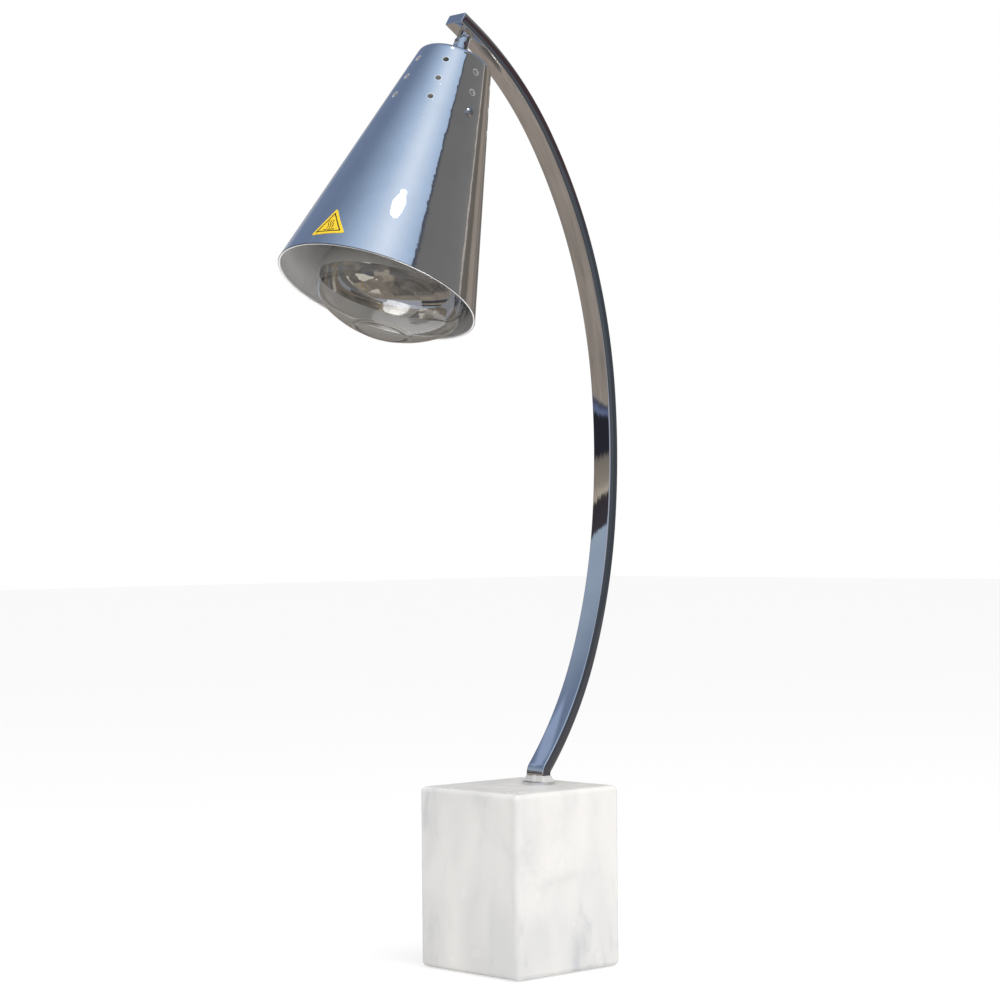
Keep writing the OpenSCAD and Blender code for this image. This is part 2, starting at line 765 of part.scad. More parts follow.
module lamp_yoke() color(steel) at_lamp() difference() {
  union() {
    translate([-yoke_half_w, -leg_y, yoke_z])
      cube([2 * yoke_half_w, 2 * leg_y, yoke_t]);
    // legs with round ends
    pair_y(leg_y - yoke_t / 2) {
      translate([-yoke_half_w, -yoke_t / 2, 0])
        cube([2 * yoke_half_w, yoke_t, yoke_z + 0.5]);
      y_rod(yoke_half_w, yoke_t);
    }
  }
  y_rod(side_screw_r + 0.06, 100);
  pair_y(rivet_y) translate([0, 0, yoke_z - 1])
    cylinder(r = rivet_r + 0.15, h = 5);
  translate([0, 0, yoke_z - 1]) cylinder(r = 5, h = 5);
}

// E26 size lamp holder: a glazed body around a threaded shell
socket_top = yoke_z - 0.02;
socket_bot = -40;
// half sections, [radius, z]
socket_outline = [
  [0, socket_top], [17, socket_top], [18.5, socket_top - 1.5],
  [18.5, -4], [20, -8], [20.5, -30], [20.5, socket_bot + 1.6],
  [20.1, socket_bot + 0.6], [19, socket_bot], [0, socket_bot]];
socket_cavity = [
  [0, socket_bot - 5], [15.2, socket_bot - 5], [15.2, -8.8], [14.4, -8],
  [0, -8]];
module socket_body() color([0.93, 0.92, 0.88]) at_lamp() difference() {
  rotate_extrude() difference() {
    polygon(socket_outline);
    polygon(socket_cavity);
  }
  pair_y(rivet_y) translate([0, 0, -20]) cylinder(r = rivet_r + 0.05, h = 60);
  // seats for the terminals and the contact's stem
  pair_x(terminal_x) {
    translate([0, 0, socket_top - 3]) cylinder(r = 3.2, h = 10);
    translate([0, 0, -20]) cylinder(r = 1.4, h = 40);
  }
  translate([0, 0, -20]) cylinder(r = 1.6, h = 16);
}

// rounded thread rings: the same rule gives the cap and the shell its form
pitch = 3.63;
function ring_r(radius, z) = radius + 0.42 * cos(360 * z / pitch);
module thread_rings(radius, bottom, top, wall) {
  steps = ceil((top - bottom) / pitch * 8);
  outer = [for (i = [0:steps]) let (z = bottom + (top - bottom) * i / steps)
    [ring_r(radius, z), z]];
  inner = [for (i = [0:steps]) let (z = top - (top - bottom) * i / steps)
    [ring_r(radius, z) - wall, z]];
  polygon(concat(outer, inner));
}

module socket_shell() color([0.80, 0.74, 0.55]) at_lamp() {
  rotate_extrude() thread_rings(14.25, socket_bot + 3, -12, 0.4);
  translate([0, 0, -12.02]) ring(14.6, 0.5, 7.6);
}

module socket_contact() color(brass) at_lamp() {
  translate([0, 0, -9.6]) cylinder(r = 4.2, h = 0.5);
  translate([0, 0, -9.2]) cylinder(r = 1.5, h = 5);
  translate([-3, -2.4, -10.6]) cube([6, 4.8, 1.05]);
}

module socket_rivets() color(steel) at_lamp() pair_y(rivet_y) {
  translate([0, 0, yoke_z + 1.52]) cylinder(r = 2.8, h = 1.1);
  translate([0, 0, -7.9]) cylinder(r = rivet_r, h = yoke_z + 10);
  translate([0, 0, -9.4]) cylinder(r = 1.9, h = 1.38);
}

module terminal_screws() color(brass) at_lamp() pair_x(terminal_x)
  difference() {
    union() {
      translate([0, 0, socket_top - 2.95]) cylinder(r = 2.9, h = 1.6);
      translate([0, 0, -3]) cylinder(r = 1.35, h = 10);
    }
    translate([-3.5, -0.35, socket_top - 1.9]) cube([7, 0.7, 3]);
  }

// ================= reflector bulb =================
// the envelope's outline: a flat crown with a tight edge below the widest
// circle; above it a full shoulder, a straight flank and a hollow neck
widest_z = -bulb_drop;
neck_r = 19;
edge_r = 28;
crown_r = (dome_h * dome_h + pow(bulb_r - edge_r, 2) - edge_r * edge_r)
  / (2 * (dome_h - edge_r));
crown_angle = asin((bulb_r - edge_r) / (crown_r - edge_r));
back_r = 42; // arc of the shoulder
hollow_r = 40; // arc of the neck
flank_angle = 52;
flank_bot_x = bulb_r - back_r * (1 - cos(flank_angle));
flank_top_x = neck_r + hollow_r * (1 - cos(flank_angle));
flank_top_z = widest_z + back_r * sin(flank_angle)
  + (flank_bot_x - flank_top_x) / tan(flank_angle);
neck_z = flank_top_z + hollow_r * sin(flank_angle);
cap_bot = -37.6;
cap_inner_r = 12.2; // the neck's radius inside the cap

// [radius, z] points from the widest circle up to the neck, moved inwards
function back_points(inset, steps = 14) = [
  for (point = concat(
    [for (i = [0:steps]) let (angle = flank_angle * i / steps)
      [bulb_r - back_r * (1 - cos(angle)), widest_z + back_r * sin(angle)]],
    [for (i = [0:steps]) let (angle = flank_angle * (1 - i / steps))
      [neck_r + hollow_r * (1 - cos(angle)),
       flank_top_z + hollow_r * (sin(flank_angle) - sin(angle))]]))
    [max(0, point[0] - inset), point[1]]];
// [radius, z] points from the crown up to just below the widest circle
function dome_points(inset, steps = 12) = concat(
  [for (i = [1:steps]) let (angle = crown_angle * i / steps)
    [(crown_r - inset) * sin(angle),
     widest_z - dome_h + crown_r - (crown_r - inset) * cos(angle)]],
  [for (i = [1:steps - 1])
    let (angle = crown_angle + (90 - crown_angle) * i / steps)
    [bulb_r - edge_r + (edge_r - inset) * sin(angle),
     widest_z - (edge_r - inset) * cos(angle)]]);

module envelope(inset) polygon(concat(
  [[0, widest_z - dome_h + inset]], dome_points(inset), back_points(inset),
  [[neck_r - inset - 2, neck_z + 20],
   [cap_inner_r - inset, cap_bot - 6], [cap_inner_r - inset, cap_bot + 6],
   [0, cap_bot + 6]]));

module bulb_glass() color(clear_glass) at_lamp()
  rotate_extrude($fn = 96) difference() {
    envelope(0);
    envelope(1);
  }

// the mirror inside the envelope, from the neck down to the widest circle
module bulb_reflector() color([0.86, 0.87, 0.88]) at_lamp()
  rotate_extrude($fn = 96) {
    outer = back_points(1.05);
    inner = back_points(1.35);
    last = len(outer) - 2;
    polygon(concat([for (i = [0:last]) outer[i]],
                   [for (i = [last:-1:0]) inner[i]]));
  }

module bulb_cap() color([0.80, 0.80, 0.78]) at_lamp() {
  rotate_extrude() thread_rings(13.15, cap_bot, -16, 0.35);
  rotate_extrude() polygon([[12.8, -16.4], [13.2, -16], [9.6, -13.4],
    [9.2, -13.8]]);
}

module bulb_insulator() color([0.08, 0.06, 0.08]) at_lamp()
  rotate_extrude() polygon([[3.2, -15.6], [9.8, -15.6], [9.1, -13.85],
    [9.5, -13.3], [6.6, -11.9], [3.2, -11.9]]);

module bulb_tip() color([0.75, 0.75, 0.76]) at_lamp() {
  translate([0, 0, -15.4]) cylinder(r = 3.1, h = 3.6);
  translate([0, 0, -11.85]) cylinder(r1 = 4.4, r2 = 3, h = 1.2);
}

// glass stem inside the neck that carries the filament
module bulb_mount() color(clear_glass) at_lamp()
  rotate_extrude($fn = 64) polygon([[0, -43], [9.6, -40], [10.2, -41],
    [5, -46], [4.6, -60], [2.6, -66], [2.6, -78], [0, -79]]);

filament_z = -100;
filament_r = 9;
filament_start = 25; // half of the gap in the ring, in degrees
module bulb_filament() color([0.55, 0.55, 0.56]) at_lamp()
  translate([0, 0, filament_z]) rotate([0, 0, filament_start])
    rotate_extrude(angle = 360 - 2 * filament_start)
      translate([filament_r, 0]) circle(0.8);

// wire from just above the filament, leaning in towards the mount
module support_wire(angle, wire_r, top_r, top_z) {
  lean_in = filament_r - top_r;
  rise = top_z - filament_z;
  rotate([0, 0, angle]) translate([filament_r, 0, filament_z + 0.85])
    rotate([0, -atan(lean_in / rise), 0])
      cylinder(r = wire_r, h = norm([lean_in, rise]));
}
module filament_supports() color([0.70, 0.70, 0.70]) at_lamp() {
  // leads to the ends of the filament
  for (angle = [filament_start, 360 - filament_start])
    support_wire(angle, wire_r = 0.4, top_r = 1.6, top_z = -79.5);
  // thinner wires that hold it between
  for (angle = [87, 149, 211, 273])
    support_wire(angle, wire_r = 0.25, top_r = 1.2, top_z = -80.5);
  translate([0, 0, -81.2]) cylinder(r = 2.2, h = 2.1);
}

module bulb_heat_shield() color([0.72, 0.72, 0.72]) at_lamp()
  translate([0, 0, -62.4]) difference() {
    cylinder(r = 15.4, h = 0.5);
    translate([0, 0, -1]) cylinder(r = 4.9, h = 3);
    pair_x(10) translate([0, 0, -1]) cylinder(r = 1.5, h = 3);
  }

stone_block();
base_pad();
base_washer();
base_nut();
lamp_pipe();
foot_flange();
arm_tube();
arm_end_cap();
arm_cord();
cord_grip();
cord_block_to_switch();
cord_switch_to_plug();
cord_tie();
plug_body();
plug_prongs();
switch_lower_shell();
switch_upper_shell();
switch_screws();
switch_contacts();
switch_rocker();
swivel_top();
swivel_nipple();
swivel_washer();
swivel_nut();
tilt_bolt();
tilt_nut();
stem();
shade_nipple();
shade_washer();
shade_nut();
shade();
caution_label();
yoke_screws();
yoke_spacers();
yoke_nuts();
lamp_leads();
lamp_yoke();
socket_body();
socket_shell();
socket_contact();
socket_rivets();
terminal_screws();
bulb_glass();
bulb_reflector();
bulb_cap();
bulb_insulator();
bulb_tip();
bulb_mount();
bulb_filament();
filament_supports();
bulb_heat_shield();
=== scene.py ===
# A table lamp: a marble block, a flat chromed arm curving up out of it, and a polished cone
# shade hanging tilted from the arm's end with a silvered reflector bulb inside.
# The block stands on z = 0. The arm is bent in the plane y = 0 and reaches towards +X, and
# the shade opens downwards and towards +X. The camera looks from the +X +Y side.
import math
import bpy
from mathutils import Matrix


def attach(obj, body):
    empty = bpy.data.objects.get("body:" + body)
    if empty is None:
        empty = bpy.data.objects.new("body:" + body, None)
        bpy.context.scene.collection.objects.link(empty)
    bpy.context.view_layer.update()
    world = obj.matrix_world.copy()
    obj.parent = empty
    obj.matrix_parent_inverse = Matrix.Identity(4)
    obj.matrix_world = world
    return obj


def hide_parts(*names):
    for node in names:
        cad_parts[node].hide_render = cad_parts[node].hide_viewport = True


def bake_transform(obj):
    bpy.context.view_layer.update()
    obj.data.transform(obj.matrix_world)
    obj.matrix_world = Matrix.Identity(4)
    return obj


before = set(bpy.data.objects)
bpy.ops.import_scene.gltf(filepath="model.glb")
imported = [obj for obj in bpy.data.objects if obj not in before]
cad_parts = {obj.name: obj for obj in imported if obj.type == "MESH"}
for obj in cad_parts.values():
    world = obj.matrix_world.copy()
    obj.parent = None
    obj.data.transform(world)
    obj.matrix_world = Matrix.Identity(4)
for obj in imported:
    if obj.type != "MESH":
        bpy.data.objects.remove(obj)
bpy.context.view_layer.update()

from types import SimpleNamespace

import bmesh
import bpy
from mathutils import Matrix, Vector

scene = bpy.context.scene
rad = math.radians

# ------------------------------------------------------------------ dimensions
# Lengths are in mm unless said otherwise, and MM turns them into metres.
MM = 0.001
DEG = 57.29578                  # degrees in a radian, for the shaders

# the arm, in the x-z plane
ARM_FOOT = (-23.3, 154.9)       # x, z where it leaves the block
ARM_WIDTH = 20.0                # along Y
ARM_THICK = 10.0
ARM_CORNER = 1.0
FOOT_BEND_R = 8.0
# bend radius, length; a positive radius turns towards +X, a negative one towards -X
ARM_RUNS = (
    (0, 6.8), (-FOOT_BEND_R, FOOT_BEND_R * rad(39.6)),
    (323, 108.7), (467, 116.5), (643, 116.5), (468, 116.5), (425, 116.5), (285, 116.5),
    (0, 15.5 + 1.52))

# the shade: a cone standing on its rim circle
TILT = rad(24.29)               # of the axis, from upright towards -X
HEAD_TURN = 4.6                 # degrees, of the holes about the axis
RIM_R = 83.86
SLOPE = 0.24247                 # radius lost per unit of height
CONE = math.atan(SLOPE)
CONE_COS, CONE_SIN = math.cos(CONE), math.sin(CONE)
SHADE_H = 218.0
SHEET = 1.0                     # sheet thickness
TOP_ROUND = 6.0                 # radius of the rounded shoulder
HOLE_ROWS = (200.4, 180.3, 160.3)
HOLES_ROUND = 8
HOLE_STEP = 360.0 / HOLES_ROUND
SCREW_HOLES = (2, 6)            # places in the lowest row

# frames in metres: the rim, the rim turned to its holes, and the lamp holder inside it
RIM_CENTRE = Vector((0.15497658, 0, 0.56291423))
AXIS = Vector((-math.sin(TILT), 0, math.cos(TILT)))
RIM = Matrix.Translation(RIM_CENTRE) @ Matrix.Rotation(-TILT, 4, "Y")
HEAD = RIM @ Matrix.Rotation(rad(-HEAD_TURN), 4, "Z")
LAMP = HEAD @ Matrix.Translation((0, 0, 0.1603)) @ Matrix.Rotation(rad(5.19), 4, "Y")


# ------------------------------------------------------------------ shader graphs
def rgb(*display):
    """A display colour of 0-255 values, as linear light."""
    linear = []
    for value in display:
        value = value / 255.0
        linear.append(value / 12.92 if value <= 0.04045 else ((value + 0.055) / 1.055) ** 2.4)
    return tuple(linear) + (1.0,)


def shaded(colour, factor):
    return tuple(min(1, value * factor) for value in colour[:3]) + (1,)


def direction(azimuth, elevation):
    """A unit vector; azimuth in degrees from +X towards +Y."""
    a, e = rad(azimuth), rad(elevation)
    return Vector((math.cos(e) * math.cos(a), math.cos(e) * math.sin(a), math.sin(e)))


class Graph:
    """Short calls that add a node, fill its inputs and return its output."""

    def __init__(self, tree):
        self.tree = tree
        tree.nodes.clear()

    def node(self, kind, **settings):
        node = self.tree.nodes.new(kind)
        for key, value in settings.items():
            setattr(node, key, value)
        return node

    def put(self, socket, value):
        if isinstance(value, bpy.types.NodeSocket):
            self.tree.links.new(value, socket)
        else:
            socket.default_value = value

    def fill(self, node, values):
        """Puts values into a node's inputs, keyed by input name or index."""
        for key, value in values.items():
            self.put(node.inputs[key], value)

    def math(self, operation, *values, clamp=False):
        node = self.node("ShaderNodeMath", operation=operation, use_clamp=clamp)
        self.fill(node, dict(enumerate(values)))
        return node.outputs[0]

    def times(self, first, *rest):
        for value in rest:
            first = self.math("MULTIPLY", first, value)
        return first

    def plus(self, first, *rest):
        for value in rest:
            first = self.math("ADD", first, value)
        return first

    def minus(self, a, b):
        return self.math("SUBTRACT", a, b)

    def vector(self, operation, a, b=None, scale=None):
        node = self.node("ShaderNodeVectorMath", operation=operation)
        self.put(node.inputs[0], a)
        if b is not None:
            self.put(node.inputs[1], b)
        if scale is not None:
            self.put(node.inputs["Scale"], scale)
        return node.outputs["Value" if operation in ("DOT_PRODUCT", "LENGTH") else 0]

    def step(self, value, span, to=(0.0, 1.0)):
        """Goes smoothly from to[0] at span[0] to to[1] at span[1]."""
        node = self.node("ShaderNodeMapRange", interpolation_type="SMOOTHSTEP", clamp=True)
        self.fill(node, {"Value": value, "From Min": span[0], "From Max": span[1],
                         "To Min": to[0], "To Max": to[1]})
        return node.outputs["Result"]

    def window(self, value, one_side, other_side):
        """One between two smooth edges."""
        return self.times(self.step(value, one_side), self.step(value, other_side))

    def mix(self, factor, a, b):
        node = self.node("ShaderNodeMix", data_type="RGBA")
        self.fill(node, {0: factor, 6: a, 7: b})
        return node.outputs[2]

    def ramp(self, value, stops, start=0.0, width=1.0, interpolation="LINEAR"):
        """Stops are (place, display colour); places run from start over width."""
        node = self.node("ShaderNodeValToRGB")
        band = node.color_ramp
        band.interpolation = interpolation
        while len(band.elements) > 1:
            band.elements.remove(band.elements[-1])
        places = [((place - start) / width, rgb(*colour)) for place, colour in stops]
        band.elements[0].position, band.elements[0].color = places[0]
        for position, colour in places[1:]:
            band.elements.new(position).color = colour
        self.put(node.inputs[0], value)
        return node.outputs[0]

    def noise(self, vector, scale, detail=2.0, rough=0.5, distortion=0.0, colour=False):
        node = self.node("ShaderNodeTexNoise")
        self.fill(node, {"Vector": vector, "Scale": scale, "Detail": detail,
                         "Roughness": rough, "Distortion": distortion})
        return node.outputs[1 if colour else 0]

    def shift(self, vector, scale, detail, by):
        """Moves a vector about by up to half of `by` with a colour noise."""
        swirl = self.noise(vector, scale, detail, colour=True)
        centred = self.vector("SUBTRACT", swirl, (0.5, 0.5, 0.5))
        return self.vector("SCALE", centred, scale=by)

    def mapping(self, vector, **values):
        node = self.node("ShaderNodeMapping")
        self.put(node.inputs["Vector"], vector)
        for key, value in values.items():
            node.inputs[key.title()].default_value = value
        return node.outputs[0]

    def bump(self, height, distance, strength=1.0, normal=None):
        node = self.node("ShaderNodeBump")
        self.fill(node, {"Strength": strength, "Distance": distance, "Height": height})
        if normal is not None:
            self.put(node.inputs["Normal"], normal)
        return node.outputs[0]


class MaterialGraph(Graph):
    """A new material with a principled shader and object coordinates (metres)."""

    def __init__(self, name):
        self.material = bpy.data.materials.new(name)
        self.material.use_nodes = True
        super().__init__(self.material.node_tree)
        self.output = self.node("ShaderNodeOutputMaterial")
        self.shader = self.node("ShaderNodeBsdfPrincipled")
        self.put(self.output.inputs[0], self.shader.outputs[0])
        self.coords = self.node("ShaderNodeTexCoord").outputs["Object"]

    def blend_shaders(self, factor, first, second):
        node = self.node("ShaderNodeMixShader")
        self.fill(node, {0: factor, 1: first.outputs[0], 2: second.outputs[0]})
        self.put(self.output.inputs[0], node.outputs[0])


# ------------------------------------------------------------------ plain finishes
def surface(name, colour, metallic, roughness, spread, specular, mottle, mottle_scale,
            bump, bump_scale, spread_scale=250.0, brush=None, coat=0.0, transmission=0.0,
            sheen=0.0):
    """A general finish: mottled colour, varied roughness, fine bump."""
    g = MaterialGraph(name)
    base = rgb(*colour)
    patches = g.step(g.noise(g.coords, mottle_scale, detail=3.0, rough=0.55), (0.3, 0.7))
    grain = g.mapping(g.coords, scale=brush) if brush else g.coords
    wear = g.noise(grain, spread_scale, detail=3.0, rough=0.6)
    relief = g.noise(grain, bump_scale, detail=4.0, rough=0.6)
    g.fill(g.shader, {
        "Base Color": g.mix(patches, shaded(base, 1 - mottle), shaded(base, 1 + mottle)),
        "Roughness": g.step(wear, (0.25, 0.75),
                            to=(max(0.0, roughness - spread), roughness + spread)),
        "Metallic": metallic, "Specular IOR Level": specular, "IOR": 1.45,
        "Coat Weight": coat, "Coat Roughness": 0.08,
        "Transmission Weight": transmission, "Sheen Weight": sheen,
        "Normal": g.bump(relief, bump)})
    return g.material


# name, display colour, metallic, roughness, its spread either way, specular level,
# colour mottling, its scale, bump depth (m), its scale, and any further settings
SURFACES = (
    ("felt_pad", (38, 38, 40), 0, 0.95, 0.10, 0.15, 0.30, 500, 0.0003, 1500, {"sheen": 0.4}),
    ("zinc_plated_steel", (186, 188, 190), 1, 0.32, 0.12, 0.5, 0.10, 180, 0.00001, 900, {}),
    ("pressed_steel_strap", (176, 177, 178), 1, 0.36, 0.12, 0.5, 0.10, 90, 0.000012, 700,
     {"brush": (1, 12, 1)}),
    ("plain_brass", (201, 166, 96), 1, 0.30, 0.10, 0.5, 0.12, 160, 0.00001, 900, {}),
    ("plated_screw_shell", (202, 190, 150), 1, 0.28, 0.10, 0.5, 0.10, 120, 0.00001, 800, {}),
    ("rubber_cord", (30, 30, 31), 0, 0.50, 0.12, 0.4, 0.18, 160, 0.00005, 700, {}),
    ("moulded_rubber", (28, 28, 29), 0, 0.46, 0.12, 0.4, 0.18, 120, 0.00007, 1100, {}),
    ("moulded_plastic_black", (27, 27, 29), 0, 0.34, 0.10, 0.5, 0.15, 90, 0.00006, 1600, {}),
    ("rocker_plastic_gloss", (33, 33, 35), 0, 0.20, 0.08, 0.5, 0.12, 150, 0.00002, 1200, {}),
    ("cord_tie_vinyl", (24, 24, 25), 0, 0.40, 0.10, 0.5, 0.12, 220, 0.00004, 1400, {}),
    ("glazed_porcelain", (236, 233, 224), 0, 0.16, 0.06, 0.6, 0.05, 70, 0.00004, 220,
     {"coat": 0.4}),
    ("braided_fibreglass_sleeve", (222, 217, 201), 0, 0.85, 0.10, 0.2, 0.18, 1400,
     0.00018, 2600, {}),
    ("evaporated_silvering", (226, 224, 221), 1, 0.018, 0.010, 0.5, 0.03, 20, 0.000025, 16,
     {"spread_scale": 18}),
    ("lamp_cap_aluminium", (206, 206, 204), 1, 0.30, 0.12, 0.5, 0.08, 150, 0.00002, 700, {}),
    ("black_cap_glass", (24, 20, 28), 0, 0.12, 0.10, 0.6, 0.15, 300, 0.00002, 900, {}),
    ("solder_dome", (186, 187, 190), 1, 0.30, 0.10, 0.5, 0.15, 500, 0.00006, 900, {}),
    ("tungsten_wire", (122, 122, 124), 1, 0.38, 0.10, 0.5, 0.20, 900, 0.00001, 3000, {}),
    ("support_wire", (168, 168, 168), 1, 0.28, 0.10, 0.5, 0.12, 700, 0.00001, 3000, {}),
    ("heat_shield_disc", (196, 196, 194), 1, 0.22, 0.10, 0.5, 0.08, 120, 0.00001, 800, {}),
    ("label_yellow_vinyl", (252, 214, 40), 0, 0.38, 0.10, 0.45, 0.04, 220, 0.00002, 900,
     {"coat": 0.25}),
    ("label_dark_ink", (46, 36, 18), 0, 0.45, 0.10, 0.4, 0.25, 900, 0.00001, 1500, {}),
    ("label_symbol_ink", (104, 82, 22), 0, 0.45, 0.10, 0.4, 0.20, 900, 0.00001, 1500, {}),
    ("clear_sealant", (244, 244, 242), 0, 0.16, 0.08, 0.5, 0.04, 260, 0.00012, 300,
     {"transmission": 0.30}),
)


def chrome(name, tint, roughness, ripple, ripple_scale):
    """Bright plating with a thin film, smudges and a slight ripple (depth in metres)."""
    g = MaterialGraph(name)
    base = rgb(*tint)
    film = g.noise(g.coords, 35.0, detail=4.0, rough=0.6)
    smudge = g.noise(g.coords, 22.0, detail=5.0, rough=0.65, distortion=0.6)
    g.fill(g.shader, {
        "Base Color": g.mix(g.step(film, (0.35, 0.75)), base, shaded(base, 0.93)),
        "Metallic": 1.0,
        "Roughness": g.step(smudge, (0.45, 0.8), to=(roughness, roughness + 0.03)),
        "Normal": g.bump(g.noise(g.coords, ripple_scale), ripple)})
    return g.material


def glass(name, tint, streak=0.0):
    """Clear glass, with a wavy face where streak (metres) is given."""
    g = MaterialGraph(name)
    clouds = g.noise(g.coords, 18.0, detail=3.0, rough=0.5, distortion=0.4)
    deeper = rgb(*(int(value * 0.985) for value in tint))
    smears = g.noise(g.coords, 45.0, detail=4.0, rough=0.6)
    g.fill(g.shader, {
        "Base Color": g.mix(clouds, rgb(*tint), deeper),
        "Transmission Weight": 1.0, "IOR": 1.47,
        "Roughness": g.step(smears, (0.55, 0.85), to=(0.0, 0.03))})
    if streak:
        g.put(g.shader.inputs["Normal"], g.bump(g.noise(g.coords, 30.0), streak))
    return g.material


# ------------------------------------------------------------------ shade material
def place_on_cone(g):
    """Height (m), radius (m), outward direction and angle (degrees) about the axis."""
    offset = g.vector("SUBTRACT", g.coords, tuple(RIM_CENTRE))
    height = g.vector("DOT_PRODUCT", offset, tuple(AXIS))
    radial = g.vector("SUBTRACT", offset, g.vector("SCALE", tuple(AXIS), scale=height))
    across = g.vector("DOT_PRODUCT", offset, (math.cos(TILT), 0.0, math.sin(TILT)))
    side = g.vector("DOT_PRODUCT", offset, (0.0, 1.0, 0.0))
    return SimpleNamespace(
        height=height, radius=g.vector("LENGTH", radial),
        outward=g.vector("NORMALIZE", radial),
        angle=g.times(g.math("ARCTAN2", side, across), DEG))


def to_world(g, vector, kind):
    node = g.node("ShaderNodeVectorTransform", vector_type=kind,
                  convert_from="OBJECT", convert_to="WORLD")
    g.put(node.inputs[0], vector)
    return node.outputs[0]


def shade_faces(g, place):
    """The mask of the outside, and the normal with the true cone's on the outside."""
    height = place.height
    middle_r = (RIM_R - SHEET / CONE_COS * 0.5) * MM
    beyond_middle = g.minus(place.radius, g.minus(middle_r, g.times(height, SLOPE)))
    outside = g.math("GREATER_THAN", beyond_middle, 0.0)
    normal = g.node("ShaderNodeNewGeometry").outputs["Normal"]
    cone_normal = g.vector("ADD", g.vector("SCALE", place.outward, scale=CONE_COS),
                           tuple(AXIS * CONE_SIN))
    cone_normal = g.vector("NORMALIZE", to_world(g, cone_normal, "NORMAL"))
    facing = g.vector("DOT_PRODUCT", normal, cone_normal)
    facing_up = g.vector("DOT_PRODUCT", normal, to_world(g, tuple(AXIS), "VECTOR"))
    # the rounded shoulder and the top plate count as outside when they face up
    high = g.math("GREATER_THAN", height, (SHADE_H - 8.0) * MM)
    top = g.times(high, g.math("GREATER_THAN", facing_up, 0.05))
    outside = g.math("MAXIMUM", g.times(outside, g.minus(1.0, high)), top)

    on_cone = g.times(g.math("GREATER_THAN", facing, 0.985),
                      g.math("LESS_THAN", height, (SHADE_H - 6.2) * MM),
                      g.math("GREATER_THAN", height, 0.9 * MM))
    pick = g.node("ShaderNodeMix", data_type="VECTOR")
    g.fill(pick, {0: on_cone, 4: normal, 5: cone_normal})
    return outside, pick.outputs[1]


def burnish_and_specks(g, place):
    """A duller oval low on the side towards +X +Y, and specks above it."""
    round_mm = g.times(g.minus(place.angle, 49.0), 1.25)
    up_mm = g.minus(g.times(place.height, 1000.0), 50.0)

    def squared(value, half_size):
        return g.math("POWER", g.math("ABSOLUTE", g.math("DIVIDE", value, half_size)), 2.0)
    oval = g.math("SQRT", g.plus(squared(round_mm, 5.4), squared(up_mm, 14.5)))
    ragged = g.minus(g.noise(g.coords, 120.0, detail=3.0, rough=0.55), 0.5)
    oval = g.plus(oval, g.times(ragged, 1.1))
    burnish = g.step(oval, (1.08, 0.72))

    dots = g.step(g.noise(g.coords, 520.0, detail=3.0, rough=0.6), (0.69, 0.73))
    near_angle = g.step(g.math("ABSOLUTE", g.minus(place.angle, 46.0)), (13.0, 4.0))
    specks = g.times(dots, g.times(near_angle, g.step(place.height, (0.040, 0.060))))
    return g.times(g.math("MAXIMUM", burnish, g.times(specks, 0.32)), 0.31)


def painted_hole_edge_highlight(g, place):
    """A narrow glowing ring round each hole: a painted highlight on the hole edges."""
    from_hole = g.plus(place.angle, 360.0 + HOLE_STEP / 2 + HEAD_TURN)
    from_hole = g.minus(g.math("MODULO", from_hole, HOLE_STEP), HOLE_STEP / 2)
    across = g.times(g.times(from_hole, math.pi / 180.0), g.times(place.radius, 1000.0))
    rings = None
    for row in HOLE_ROWS:
        along = g.math("DIVIDE", g.minus(g.times(place.height, 1000.0), row), CONE_COS)
        distance = g.math("SQRT", g.plus(g.times(across, across), g.times(along, along)))
        ring = g.window(distance, (3.4, 3.0), (2.3, 2.5))
        rings = ring if rings is None else g.math("MAXIMUM", rings, ring)
    return g.times(rings, 0.24)


def polish_outside(g, place, normal):
    # faint ripples left in the sheet
    ripple = g.plus(g.times(g.noise(g.coords, 62.0, detail=1.0), 0.70),
                    g.times(g.noise(g.coords, 170.0, detail=1.0), 0.24))
    dust = g.noise(g.coords, 140.0, detail=5.0, rough=0.75)
    film = g.noise(g.coords, 26.0, detail=4.0, rough=0.6, distortion=0.8)
    colour = g.mix(g.step(film, (0.35, 0.75)), rgb(238, 238, 240), rgb(230, 231, 233))
    # the turned edge is duller than the polished face
    edge = g.step(place.height, (0.95 * MM, 0.60 * MM))
    g.fill(g.shader, {
        "Base Color": g.mix(edge, colour, rgb(138, 137, 136)),
        "Metallic": 1.0,
        "Roughness": g.plus(g.step(film, (0.4, 0.8), to=(0.045, 0.075)),
                            g.step(dust, (0.62, 0.78), to=(0.0, 0.03)),
                            burnish_and_specks(g, place)),
        "Normal": g.bump(ripple, 0.00015, normal=normal),
        # painted highlight: the outside glows faintly in a ring round each vent hole
        "Emission Color": rgb(236, 236, 236),
        "Emission Strength": painted_hole_edge_highlight(g, place)})


